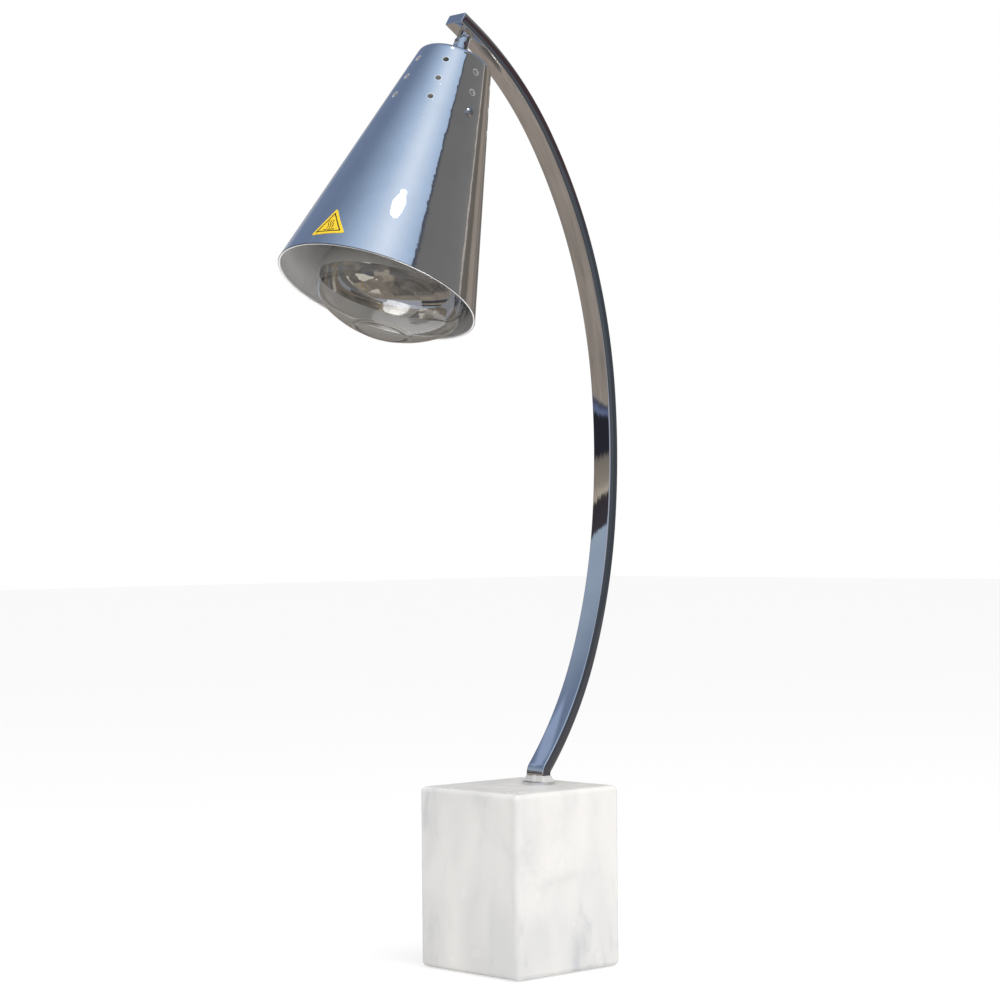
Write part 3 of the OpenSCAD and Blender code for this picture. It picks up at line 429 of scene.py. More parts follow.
def satin_inside(g, place):
    """The shader of the inner face: pale satin with fine turning lines, a painted highlight
    along the hem and a painted glow high up inside.
    """
    satin = g.node("ShaderNodeBsdfPrincipled")
    along_axis = g.node("ShaderNodeCombineXYZ")
    g.put(along_axis.inputs[0], place.height)
    lines = g.node("ShaderNodeTexWave", wave_type="RINGS")
    g.fill(lines, {"Vector": along_axis.outputs[0], "Scale": 700.0, "Distortion": 0.6})
    clouds = g.noise(g.coords, 48.0, detail=4.0, rough=0.6)
    colour = g.mix(g.step(clouds, (0.3, 0.7)), rgb(222, 220, 220), rgb(231, 229, 228))
    # painted highlight: the bottom of the hem is coloured near-white to stand for its lit edge
    hem = g.step(place.height, (0.20 * MM, 0.14 * MM))
    g.fill(satin, {
        "Base Color": g.mix(hem, colour, rgb(254, 254, 254)),
        "Metallic": 0.0,
        "Roughness": g.step(clouds, (0.3, 0.7), to=(0.40, 0.50)),
        "Normal": g.bump(lines.outputs[0], 0.00002, strength=0.5),
        # painted light: a faint glow high inside the cone stands for light falling in through
        # the vents
        "Emission Color": rgb(235, 232, 228),
        "Emission Strength": g.step(place.height, (0.120, 0.165), to=(0.0, 0.075))})
    return satin


def shade_material():
    """Polished outside and satin inside, on one mesh."""
    g = MaterialGraph("shade_polished_and_satin")
    place = place_on_cone(g)
    outside, normal = shade_faces(g, place)
    polish_outside(g, place, normal)
    g.blend_shaders(outside, satin_inside(g, place), g.shader)
    return g.material


# ------------------------------------------------------------------ marble
def marble_material():
    """White stone with long veins, finer threads and grey clouds."""
    g = MaterialGraph("white_marble")
    lie = g.mapping(g.coords, rotation=(0.5, 0.7, 0.35), scale=(1.0, 1.0, 0.72),
                    location=(0.37, 0.11, 0.05))
    warped = g.vector("ADD", lie, g.shift(lie, scale=14.0, detail=5.0, by=0.055))

    def streaks(scale, detail, rough, thinness):
        """Lines where a noise passes its middle value."""
        away = g.math("ABSOLUTE", g.minus(g.noise(warped, scale, detail, rough), 0.5))
        return g.math("SUBTRACT", 1.0, g.times(away, thinness), clamp=True)
    veined = g.step(g.noise(lie, 12.0), (0.42, 0.66))
    vein = g.math("POWER", streaks(scale=12.0, detail=2.0, rough=0.5, thinness=13.0), 1.7)
    vein = g.times(vein, veined)
    thread = g.times(streaks(scale=46.0, detail=4.0, rough=0.6, thinness=22.0), veined, 0.35)

    drift = g.mapping(g.coords, rotation=(0.15, -0.55, 0.75), scale=(1.0, 1.0, 0.38))
    cloud = g.step(g.noise(drift, 17.0, detail=2.5, rough=0.45, distortion=0.6), (0.32, 0.72))
    wisp = g.step(g.noise(drift, 52.0, detail=4.0, rough=0.55, distortion=0.8), (0.52, 0.78))
    grain = g.noise(g.coords, 900.0, detail=3.0, rough=0.7)
    colour = g.mix(g.times(cloud, 0.72), rgb(245, 243, 240), rgb(220, 221, 222))
    colour = g.mix(g.times(wisp, cloud, 0.80), colour, rgb(198, 200, 204))
    lines = g.math("ADD", vein, thread, clamp=True)
    colour = g.mix(g.times(lines, 0.24), colour, rgb(170, 172, 176))
    colour = g.mix(g.step(grain, (0.55, 0.8), to=(0.0, 0.08)), colour, rgb(205, 204, 202))
    g.fill(g.shader, {
        "Base Color": colour,
        "Roughness": g.step(g.noise(g.coords, 40.0), (0.2, 0.8), to=(0.23, 0.28)),
        "Specular IOR Level": 0.26, "IOR": 1.5,
        "Subsurface Weight": 0.25, "Subsurface Radius": (0.9, 0.85, 0.8),
        "Subsurface Scale": 0.004,
        "Normal": g.bump(g.noise(g.coords, 260.0), 0.00002, strength=0.35)})
    return g.material


# ------------------------------------------------------------------ materials of the pieces
MATERIALS = [
    chrome("arm_chrome", tint=(232, 232, 233), roughness=0.025,
           ripple=0.00001, ripple_scale=60.0),
    chrome("fitting_chrome", tint=(226, 227, 228), roughness=0.05,
           ripple=0.000006, ripple_scale=350.0),
    shade_material(),
    marble_material()]
MATERIALS += [surface(*row[:-1], **row[-1]) for row in SURFACES]
MATERIALS += [
    glass("bulb_glass_clear", tint=(250, 251, 250), streak=0.00002),
    glass("mount_glass_clear", tint=(240, 246, 244))]
FINISH = {material.name: material for material in MATERIALS}

PIECES = {
    "white_marble": ("stone_block",),
    "felt_pad": ("base_pad",),
    "zinc_plated_steel": (
        "base_washer", "base_nut", "lamp_pipe", "switch_screws", "swivel_nipple",
        "swivel_washer", "swivel_nut", "shade_nipple", "shade_washer", "shade_nut",
        "yoke_screws", "yoke_spacers", "yoke_nuts", "socket_rivets"),
    "fitting_chrome": ("foot_flange", "swivel_top", "tilt_bolt", "tilt_nut", "stem"),
    "arm_chrome": ("arm_tube", "arm_end_cap"),
    "rubber_cord": ("arm_cord", "cord_block_to_switch", "cord_switch_to_plug"),
    "moulded_rubber": ("cord_grip", "plug_body"),
    "cord_tie_vinyl": ("cord_tie",),
    "plain_brass": ("plug_prongs", "switch_contacts", "socket_contact", "terminal_screws"),
    "moulded_plastic_black": ("switch_lower_shell", "switch_upper_shell"),
    "rocker_plastic_gloss": ("switch_rocker",),
    "shade_polished_and_satin": ("shade",),
    "label_yellow_vinyl": ("caution_label",),
    "braided_fibreglass_sleeve": ("lamp_leads",),
    "pressed_steel_strap": ("lamp_yoke",),
    "glazed_porcelain": ("socket_body",),
    "plated_screw_shell": ("socket_shell",),
    "bulb_glass_clear": ("bulb_glass",),
    "evaporated_silvering": ("bulb_reflector",),
    "lamp_cap_aluminium": ("bulb_cap",),
    "black_cap_glass": ("bulb_insulator",),
    "solder_dome": ("bulb_tip",),
    "mount_glass_clear": ("bulb_mount",),
    "tungsten_wire": ("bulb_filament",),
    "support_wire": ("filament_supports",),
    "heat_shield_disc": ("bulb_heat_shield",),
}
finish_of_piece = {piece: FINISH[name] for name, pieces in PIECES.items() for piece in pieces}
for piece, node_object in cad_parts.items():
    node_object.data.materials.clear()
    node_object.data.materials.append(finish_of_piece[piece])


# ------------------------------------------------------------------ mesh helpers
def at(matrix, x, y, z):
    """A point given in mm in a frame, in metres in the world."""
    return matrix @ (Vector((x, y, z)) * MM)


def mesh_object(name, verts, faces, finish, sharp=None, smooth=True):
    """Verts in metres; edges sharper than `sharp` degrees stay crisp."""
    mesh = bpy.data.meshes.new(name)
    mesh.from_pydata([tuple(vert) for vert in verts], [], [tuple(face) for face in faces])
    mesh.validate()
    bm = bmesh.new()
    bm.from_mesh(mesh)
    bmesh.ops.recalc_face_normals(bm, faces=bm.faces[:])
    bm.to_mesh(mesh)
    bm.free()
    mesh.polygons.foreach_set("use_smooth", [smooth] * len(mesh.polygons))
    if sharp is not None:
        mesh.set_sharp_from_angle(angle=rad(sharp))
    made = bpy.data.objects.new(name, mesh)
    scene.collection.objects.link(made)
    mesh.materials.append(FINISH[finish])
    return made


def quads_between(a, b):
    """Faces joining two closed loops of vertex numbers."""
    count = len(a)
    return [(a[i], a[(i + 1) % count], b[(i + 1) % count], b[i]) for i in range(count)]


def lathe(name, profile, segments, matrix, finish, closed=False, sharp=None,
          radius_at=None):
    """Turns a profile of (radius, height) about the matrix's z axis."""
    verts, faces, rings = [], [], []
    for radius, z in profile:
        first = len(verts)
        if radius == 0:
            verts.append(at(matrix, 0, 0, z))
        else:
            for i in range(segments):
                angle = 2 * math.pi * i / segments
                r = radius_at(radius, z, angle) if radius_at else radius
                verts.append(at(matrix, r * math.cos(angle), r * math.sin(angle), z))
        rings.append(list(range(first, len(verts))))
    pairs = list(zip(rings, rings[1:]))
    if closed:
        pairs.append((rings[-1], rings[0]))
    for a, b in pairs:
        if len(a) == 1:
            faces += [(a[0], b[(i + 1) % segments], b[i]) for i in range(segments)]
        elif len(b) == 1:
            faces += [(a[i], a[(i + 1) % segments], b[0]) for i in range(segments)]
        else:
            faces += quads_between(a, b)
    return mesh_object(name, verts, faces, finish, sharp)


def tube(name, points, radii, finish, segments):
    """A round rod through points in metres, with its section carried along the path."""
    count = len(points)
    up = None
    verts, rings = [], []
    for i, point in enumerate(points):
        along = (points[min(i + 1, count - 1)] - points[max(i - 1, 0)]).normalized()
        if up is None:
            up = along.orthogonal().normalized()
        up = (up - along * up.dot(along)).normalized()
        side = along.cross(up)
        rings.append(tuple(range(i * segments, (i + 1) * segments)))
        for k in range(segments):
            angle = 2 * math.pi * k / segments
            spoke = up * math.cos(angle) + side * math.sin(angle)
            verts.append(point + spoke * (radii[i] * MM))
    faces = []
    for a, b in zip(rings, rings[1:]):
        faces += quads_between(a, b)
    faces += [rings[0], rings[-1]]
    return mesh_object(name, verts, faces, finish, sharp=50)


# ------------------------------------------------------------------ the arm
def advance(place, radius, length):
    """Moves (x, z, heading in degrees) along a straight or an arc."""
    x, z, heading = place
    start = rad(heading)
    if radius == 0:
        return (x + length * math.cos(start), z + length * math.sin(start), heading)
    heading -= math.degrees(length / radius)
    centre_x, centre_z = x + radius * math.sin(start), z - radius * math.cos(start)
    end = rad(heading)
    return (centre_x - radius * math.sin(end), centre_z + radius * math.cos(end), heading)


def arm_path():
    start = (*ARM_FOOT, 90.0)
    path = [start]
    for radius, length in ARM_RUNS:
        longest_step = 0.6 if abs(radius) == FOOT_BEND_R else 2.5
        count = max(2, int(math.ceil(length / longest_step)))
        path += [advance(start, radius, length * k / count) for k in range(1, count + 1)]
        start = path[-1]
    return path


def arm_section():
    """Points of (across the thickness, along Y), round a rectangle with round corners."""
    section = []
    for sign_a, sign_b, first in ((1, 1, 0), (-1, 1, 90), (-1, -1, 180), (1, -1, 270)):
        for k in range(5):
            angle = rad(first + 90 * k / 4)
            section.append((
                sign_a * (ARM_THICK / 2 - ARM_CORNER) + ARM_CORNER * math.cos(angle),
                sign_b * (ARM_WIDTH / 2 - ARM_CORNER) + ARM_CORNER * math.sin(angle)))
    return section


def build_arm():
    path, section = arm_path(), arm_section()
    verts, rings = [], []

    def add_ring(x, z, heading, inset=0.0):
        normal_x, normal_z = math.sin(rad(heading)), -math.cos(rad(heading))
        first = len(verts)
        for a, b in section:
            a *= (abs(a) - inset) / abs(a)
            b *= (abs(b) - inset) / abs(b)
            verts.append(((x + a * normal_x) * MM, b * MM, (z + a * normal_z) * MM))
        rings.append(list(range(first, len(verts))))

    for place in path[:-1]:
        add_ring(*place)
    # the tip: a small rounded edge, then the flat end
    x, z, heading = path[-1]
    for back, inset in ((0.55, 0.0), (0.28, 0.07), (0.08, 0.27), (0.0, 0.55)):
        add_ring(x - back * math.cos(rad(heading)), z - back * math.sin(rad(heading)),
                 heading, inset)
    faces = []
    for a, b in zip(rings, rings[1:]):
        faces += quads_between(a, b)
    faces += [rings[0], rings[-1]]
    arm = mesh_object("arm_polished", verts, faces, "arm_chrome", sharp=38)
    # the two flat ends mirror as flats
    for polygon in arm.data.polygons:
        if len(polygon.vertices) > 4:
            polygon.use_smooth = False
    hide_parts("arm_tube", "arm_end_cap")
    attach(arm, "stand")


# distance out from the arm, height above the arm's foot
SEALANT_PROFILE = ((-0.2, 5.6), (0.5, 5.4), (1.1, 4.5), (1.7, 3.2),
                   (2.7, 2.1), (3.7, 1.1), (4.1, 0.35), (3.9, 0.02))


def build_sealant():
    """A lumpy collar of clear sealant where the foot meets the flange."""
    segments, rows = 96, len(SEALANT_PROFILE)
    foot_x, foot_z = ARM_FOOT
    corner_reach = 10.6             # from the arm's middle to its rounded corners
    verts, faces = [], []
    for i in range(segments):
        angle = 2 * math.pi * i / segments
        cosine, sine = math.cos(angle), math.sin(angle)
        arm_side = min(ARM_THICK / 2 / max(abs(cosine), 1e-6),
                       ARM_WIDTH / 2 / max(abs(sine), 1e-6), corner_reach)
        lump = (0.55 * math.sin(3 * angle + 0.7) + 0.35 * math.sin(5 * angle + 2.1)
                + 0.22 * math.sin(9 * angle))
        for off, up in SEALANT_PROFILE:
            weight = min(1.0, off / 2.5) if off > 0 else 0.0
            radius = arm_side + off + lump * weight
            verts.append(((foot_x + radius * cosine) * MM, radius * sine * MM,
                          (foot_z + up * (1 + 0.09 * lump)) * MM))
    for i in range(segments):
        for k in range(rows - 1):
            a, b = i * rows + k, ((i + 1) % segments) * rows + k
            faces.append((a, b, b + 1, a + 1))
    sealant = mesh_object("foot_sealant", verts, faces, "clear_sealant")
    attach(sealant, "stand")


build_arm()
build_sealant()

# ------------------------------------------------------------------ the shade
# the hem turned in at the rim: distance in from the rim's radius, height
HEM = ((0.06, 0.22), (0.18, 0.10), (0.5, 0.0), (1.2, 0.0), (1.6, 0.12),
       (1.85, 0.45), (1.95, 1.0), (2.05, 1.9), (1.75, 2.35))


def shade_shell(inset, bottom):
    """The (radius, height) of one face, from the bottom up to the hole in the top."""
    round_z = SHADE_H - TOP_ROUND
    round_x = (RIM_R * CONE_COS - TOP_ROUND - CONE_SIN * round_z) / CONE_COS
    radius = TOP_ROUND - inset
    foot_r = RIM_R - inset / CONE_COS
    top = round_z + radius * CONE_SIN
    points = []
    for k in range(25):
        z = bottom + (top - bottom) * k / 24
        points.append((foot_r - SLOPE * z, z))
    for k in range(1, 9):
        angle = CONE + (math.pi / 2 - CONE) * k / 8
        points.append((round_x + radius * math.cos(angle), round_z + radius * math.sin(angle)))
    return points + [(15.0, round_z + radius), (5.06, round_z + radius)]


def shade_cutters():
    """One object of cylinders: the vent holes square to the cone, the screw holes level."""
    lowest = HOLE_ROWS[-1]
    holes = [(k, row, 2.6, CONE) for row in HOLE_ROWS for k in range(HOLES_ROUND)
             if not (row == lowest and k in SCREW_HOLES)]
    holes += [(k, lowest, 2.1, 0.0) for k in SCREW_HOLES]
    bm = bmesh.new()
    for k, z, radius, tilt in holes:
        place = (HEAD @ Matrix.Rotation(rad(HOLE_STEP * k), 4, "Z")
                 @ Matrix.Translation(((RIM_R - SLOPE * z) * MM, 0, z * MM))
                 @ Matrix.Rotation(math.pi / 2 - tilt, 4, "Y"))
        bmesh.ops.create_cone(bm, cap_ends=True, segments=36, radius1=radius * MM,
                              radius2=radius * MM, depth=10 * MM, matrix=place)
    mesh = bpy.data.meshes.new("shade_cutters")
    bm.to_mesh(mesh)
    bm.free()
    cutters = bpy.data.objects.new("shade_cutters", mesh)
    scene.collection.objects.link(cutters)
    return cutters


def build_shade():
    profile = (shade_shell(inset=0.0, bottom=0.4)[::-1]
               + [(RIM_R - inward, z) for inward, z in HEM]
               + shade_shell(inset=SHEET, bottom=2.6))
    shade = lathe("shade_cone", profile, 240, HEAD, "shade_polished_and_satin",
                  closed=True)
    cutters = shade_cutters()
    cut = shade.modifiers.new("holes", "BOOLEAN")
    cut.operation = "DIFFERENCE"
    cut.solver = "EXACT"
    cut.object = cutters
    bpy.context.view_layer.update()
    depsgraph = bpy.context.evaluated_depsgraph_get()
    mesh = bpy.data.meshes.new_from_object(shade.evaluated_get(depsgraph))
    shade.modifiers.clear()
    shade.data = mesh
    bpy.data.objects.remove(cutters)
    mesh.materials.clear()
    mesh.materials.append(FINISH["shade_polished_and_satin"])
    mesh.polygons.foreach_set("use_smooth", [True] * len(mesh.polygons))
    mesh.set_sharp_from_angle(angle=rad(35))
    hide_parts("shade")
    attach(shade, "head")


build_shade()

# ------------------------------------------------------------------ the label
LABEL_Z = 19.0                      # height of its middle on the cone
LABEL_ANGLE = rad(13.0)             # of its middle, round the axis
LABEL_TURN = 7.4                    # degrees, of the triangle in its own plane
LABEL_R = 30.7 / math.sqrt(3)       # middle to corner, for a side of 30.7


def on_cone(u, v, lift):
    """A point u round and v up from the label's middle, lift above the sheet."""
    z = LABEL_Z + v * CONE_COS
    radius = RIM_R - SLOPE * z
    angle = LABEL_ANGLE + u / (RIM_R - SLOPE * LABEL_Z)
    outward = Vector((math.cos(angle), math.sin(angle), 0.0))
    normal = outward * CONE_COS + Vector((0.0, 0.0, CONE_SIN))
    return RIM @ ((outward * radius + Vector((0.0, 0.0, z)) + normal * lift) * MM)


def label_outline(radius, corner):
    """A triangle with rounded corners, its straight sides filled to follow the cone."""
    reach = radius - 2 * corner
    arcs = []
    for k in range(3):
        middle = 90 + 120 * k + LABEL_TURN
        for i in range(9):
            angle = rad(middle - 60 + 120 * i / 8)
            arcs.append((reach * math.cos(rad(middle)) + corner * math.cos(angle),
                         reach * math.sin(rad(middle)) + corner * math.sin(angle)))
    outline = []
    for (x0, y0), (x1, y1) in zip(arcs, arcs[1:] + arcs[:1]):
        parts = max(1, int(math.hypot(x1 - x0, y1 - y0) / 1.5))
        outline += [(x0 + (x1 - x0) * j / parts, y0 + (y1 - y0) * j / parts)
                    for j in range(parts)]
    return outline


def label_sheet(name, outline, scales, bottom, top, finish, filled=True):
    """Shrinking copies of an outline, joined; bottom and top are lifts off the cone."""
    verts, faces, loops = [], [], []

    def add_loop(scale, lift):
        first = len(verts)
        verts.extend(on_cone(x * scale, y * scale, lift) for x, y in outline)
        return list(range(first, len(verts)))

    for scale in scales:
        loops.append(add_loop(scale, top))
    for a, b in zip(loops, loops[1:]):
        faces += quads_between(a, b)
    edges = [(loops[0], scales[0])]
    if filled:
        middle, last = len(verts), loops[-1]
        verts.append(on_cone(0.0, 0.0, top))
        faces += [(last[i], last[(i + 1) % len(last)], middle) for i in range(len(last))]
    else:
        edges.append((loops[-1], scales[-1]))
    # the edge down to the cone
    for loop, scale in edges:
        faces += quads_between(loop, add_loop(scale, bottom))
    return mesh_object(name, verts, faces, finish, sharp=40)


def add_ribbon(verts, faces, path, width):
    """A flat stroke on the label; path points are turned with the label."""
    cosine, sine = math.cos(rad(LABEL_TURN)), math.sin(rad(LABEL_TURN))
    path = [(x * cosine - y * sine, x * sine + y * cosine) for x, y in path]
    first = len(verts)
    for i, (x, y) in enumerate(path):
        x0, y0 = path[max(i - 1, 0)]
        x1, y1 = path[min(i + 1, len(path) - 1)]
        dx, dy = x1 - x0, y1 - y0
        half = width / 2 / math.hypot(dx, dy)
        for sign in (-1, 1):
            verts.append(on_cone(x - sign * dy * half, y + sign * dx * half, lift=0.28))
    for a in range(first, first + 2 * (len(path) - 1), 2):
        faces.append((a, a + 1, a + 3, a + 2))


def label_marks():
    """Three upright wavy strokes over one straight stroke."""
    verts, faces = [], []
    for k in (-1, 0, 1):
        wave = [(k * 2.1 + 0.65 * math.sin(2 * math.pi * i / 16), -2.9 + 8.2 * i / 16)
                for i in range(17)]
        add_ribbon(verts, faces, wave, width=0.8)
    bar = [(-5.2 + 10.4 * i / 8, -4.5) for i in range(9)]
    add_ribbon(verts, faces, bar, width=0.9)
    return mesh_object("label_mark", verts, faces, "label_symbol_ink",
                       smooth=False)


def build_label():
    base = label_sheet("label_base", label_outline(LABEL_R, corner=1.2),
                       [1 - 0.1 * k for k in range(10)], 0.02, 0.24, "label_yellow_vinyl")
    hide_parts("caution_label")
    border = label_sheet("label_border", label_outline(LABEL_R - 4.4, corner=0.5),
                         [1.0, 0.925, 0.85], 0.22, 0.27, "label_dark_ink", filled=False)
    for part in (base, border, label_marks()):
        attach(part, "head")


build_label()

# ------------------------------------------------------------------ the bulb
# Heights are in the lamp frame: the dome is lowest, the cap highest.
BULB_R = 62.75
WIDEST_Z = -152.2
DOME_H = 38.7                       # from the widest circle to the crown
EDGE_R = 28.0                       # profile radius where the dome meets the widest circle
CROWN_R = (DOME_H ** 2 + (BULB_R - EDGE_R) ** 2 - EDGE_R ** 2) / (2 * (DOME_H - EDGE_R))
CROWN_ANGLE = math.asin((BULB_R - EDGE_R) / (CROWN_R - EDGE_R))
NECK_R = 19.0
BACK_R = 42.0                       # profile radius above the widest circle
HOLLOW_R = 40.0                     # profile radius of the hollow into the neck
FLANK = rad(52)                     # how far the back turns before the straight flank
FLANK_R0 = BULB_R - BACK_R * (1 - math.cos(FLANK))
FLANK_R1 = NECK_R + HOLLOW_R * (1 - math.cos(FLANK))
FLANK_H = BACK_R * math.sin(FLANK) + (FLANK_R0 - FLANK_R1) / math.tan(FLANK)
NECK_Z = WIDEST_Z + FLANK_H + HOLLOW_R * math.sin(FLANK)
GLASS = 0.95                        # wall thickness
THREAD_PITCH = 3.63


def dome_points(inset):
    """The clear dome, with a low moulded ring round its crown on both faces."""
    crown_z = WIDEST_Z - DOME_H
    ring_side = 1 if inset == 0 else -0.6
    points = [(0.0, crown_z + inset)]
    for k in range(1, 45):
        angle = CROWN_ANGLE * k / 44
        r = (CROWN_R - inset) * math.sin(angle)
        ring = 0.42 * math.exp(-((r - 22.5) / 1.5) ** 2) * ring_side
        points.append((r, crown_z + CROWN_R - (CROWN_R - inset) * math.cos(angle) - ring * 0.8))
    for k in range(1, 45):
        angle = CROWN_ANGLE + (math.pi / 2 - CROWN_ANGLE) * k / 44
        points.append((BULB_R - EDGE_R + (EDGE_R - inset) * math.sin(angle),
                       WIDEST_Z - (EDGE_R - inset) * math.cos(angle)))
    return points


def back_points(inset, first=1):
    """The silvered part of the envelope, inset inwards along its normal."""
    points = []
    for k in range(first, 19):
        angle = FLANK * k / 18
        points.append((BULB_R - BACK_R + (BACK_R - inset) * math.cos(angle),
                       WIDEST_Z + (BACK_R - inset) * math.sin(angle)))
    for k in range(19):
        angle = FLANK * (1 - k / 18)
        points.append((NECK_R + HOLLOW_R - (HOLLOW_R + inset) * math.cos(angle),
                       NECK_Z - (HOLLOW_R + inset) * math.sin(angle)))
    return points


def neck_points(inset):
    points = ((NECK_R - 0.25, NECK_Z + 9), (NECK_R - 1.6, NECK_Z + 19),
              (NECK_R - 3.6, NECK_Z + 28), (13.6, -43.0), (12.2, -40.5), (12.2, -33.0))
    return [(r - inset, z) for r, z in points]


def build_envelope():
    outer, inner = (dome_points(inset) + back_points(inset) + neck_points(inset)
                    for inset in (0, GLASS))
    envelope = lathe("bulb_envelope", outer + inner[::-1], 144, LAMP, "bulb_glass_clear",
                     sharp=60)
    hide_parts("bulb_glass")
    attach(envelope, "bulb")


def build_silvering():
    """A thin layer just inside the glass, from the widest circle into the neck."""
    near, far = (back_points(inset, first=0) + neck_points(inset)[:2]
                 for inset in (1.02, 1.20))
    silvering = lathe("bulb_silvering", near + far[::-1], 144, LAMP, "evaporated_silvering",
                      closed=True, sharp=60)
    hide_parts("bulb_reflector")
    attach(silvering, "bulb")


def threaded(name, radius, bottom, top, wall, finish):
    """A thin sleeve with a rolled thread that fades out at both ends."""
    rows = int((top - bottom) / THREAD_PITCH * 14)
    heights = [bottom + (top - bottom) * k / rows for k in range(rows + 1)]
    profile = [(radius, z) for z in heights] + [(radius - wall, z) for z in heights[::-1]]

    def radius_at(r, z, angle):
        fade = min(1.0, (z - bottom) / 2.0, (top - z) / 2.0)
        return r + 0.34 * fade * math.cos(2 * math.pi * z / THREAD_PITCH - angle)
    return lathe(name, profile, 96, LAMP, finish, closed=True, sharp=60,
                 radius_at=radius_at)


# the closed section of the cap's sloping shoulder: radius, height
CAP_SHOULDER = ((13.15, -16.15), (12.2, -14.6), (10.6, -13.7), (9.6, -13.35),
                (9.2, -13.7), (10.4, -14.2), (11.9, -15.1), (12.75, -16.3))


def build_threads():
    """The bulb's cap with its shoulder, and the socket's shell round it."""
    cap = threaded("lamp_cap_thread", radius=13.15, bottom=-37.6, top=-16.0, wall=0.35,
                   finish="lamp_cap_aluminium")
    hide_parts("bulb_cap")
    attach(cap, "bulb")
    shoulder = lathe("lamp_cap_shoulder", CAP_SHOULDER, 72, LAMP, "lamp_cap_aluminium",
                     closed=True)
    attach(shoulder, "bulb")
    socket = threaded("socket_thread", radius=14.25, bottom=-37.0, top=-12.0, wall=0.32,
                      finish="plated_screw_shell")
    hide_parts("socket_shell")
    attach(socket, "lamp_holder")


def build_filament():
    """A fine coil bent into an open ring, sagging a little between its supports."""
    turns, steps_per_turn = 84, 9
    ring_r, ring_z, coil_r = 9.0, -100.0, 0.62
    steps = turns * steps_per_turn
    points = []
    for i in range(steps + 1):
        t = i / steps
        round_ring = rad(25 + 310 * t)
        round_coil = 2 * math.pi * turns * t
        sag = 0.5 * abs(math.sin(2.5 * math.pi * t))
        r = ring_r + coil_r * math.cos(round_coil)
        points.append(at(LAMP, r * math.cos(round_ring), r * math.sin(round_ring),
                         ring_z - sag + coil_r * math.sin(round_coil)))
    filament = tube("filament_coil", points, [0.14] * len(points), "tungsten_wire", 5)
    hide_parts("bulb_filament")
    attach(filament, "bulb")


build_envelope()
build_silvering()
build_threads()
build_filament()

# ------------------------------------------------------------------ the two leads
LEAD_X = 1.6                        # from the axis, in the head frame
LEAD_TOP, LEAD_BEND_Z = 222, 196
LEAD_BEND_R, LEAD_BEND = 12, rad(55.5)
TERMINAL_X = 12.0                   # from the axis, in the lamp frame
EYE_POINTS = 15


def lead_path(half_turn):
    """Straight down, outwards in an S bend, then to an eye round the terminal screw."""
    head, lamp = HEAD @ half_turn, LAMP @ half_turn
    points = [at(head, LEAD_X, 0, z) for z in range(LEAD_TOP, LEAD_BEND_Z - 1, -2)]
    for k in range(1, 13):
        angle = LEAD_BEND * k / 12
        points.append(at(head, LEAD_X + LEAD_BEND_R * (1 - math.cos(angle)), 0,
                         LEAD_BEND_Z - LEAD_BEND_R * math.sin(angle)))
    centre_x = LEAD_X + 2 * LEAD_BEND_R * (1 - math.cos(LEAD_BEND)) - LEAD_BEND_R
    centre_z = LEAD_BEND_Z - 2 * LEAD_BEND_R * math.sin(LEAD_BEND)
    for k in range(1, 13):
        angle = LEAD_BEND * (1 - k / 12)
        points.append(at(head, centre_x + LEAD_BEND_R * math.cos(angle), 0,
                         centre_z + LEAD_BEND_R * math.sin(angle)))
    bend_end, terminal = points[-1], at(lamp, TERMINAL_X, 0.6, 10.4)
    points += [bend_end.lerp(terminal, k / 6) for k in range(1, 6)]
    for k in range(EYE_POINTS):
        t = k / (EYE_POINTS - 1)
        angle = rad(90 - 300 * t)
        points.append(at(lamp, TERMINAL_X + 1.8 * math.cos(angle),
                         1.8 * math.sin(angle) - 0.2, 8.9 - 0.5 * t))
    return points


def build_leads():
    for side in (0, 1):
        points = lead_path(Matrix.Rotation(math.pi * side, 4, "Z"))
        radii = [0.9] * (len(points) - EYE_POINTS) + [0.5] * EYE_POINTS
        lead = tube("lamp_lead_%d" % (side + 1), points, radii, "braided_fibreglass_sleeve",
                    10)
        if side == 0:
            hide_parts("lamp_leads")
        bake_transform(lead)


build_leads()


# ------------------------------------------------------------------ floor
def floor_material():
    """Matt near-white that also glows a little, to the camera only."""
    g = MaterialGraph("pale_floor")
    patches = g.noise(g.coords, 3.0, detail=3.0)
    g.fill(g.shader, {
        "Base Color": g.mix(patches, rgb(246, 246, 246), rgb(242, 242, 242)),
        "Roughness": 0.9, "Specular IOR Level": 0.1})
    glow = g.node("ShaderNodeEmission")
    g.fill(glow, {"Color": (1, 1, 1, 1), "Strength": 1.12})
    camera_ray = g.node("ShaderNodeLightPath").outputs["Is Camera Ray"]
    g.blend_shaders(g.times(camera_ray, 0.62), g.shader, glow)
    return g.material


def build_floor():
    """A square grid just under z = 0, left out of mirrors and glass."""
    half, cells, z = 14.0, 8, -0.0003       # metres
    row = cells + 1
    places = [-half + 2 * half * i / cells for i in range(row)]
    verts = [(x, y, z) for y in places for x in places]
    faces = []
    for j in range(cells):
        for i in range(cells):
            a = j * row + i
            faces.append((a, a + 1, a + row + 1, a + row))
    material = floor_material()
    mesh = bpy.data.meshes.new("floor")
    mesh.from_pydata(verts, [], faces)
    floor = bpy.data.objects.new("floor", mesh)
    scene.collection.objects.link(floor)
    mesh.materials.append(material)
    floor.visible_glossy = False
    floor.visible_transmission = False


build_floor()


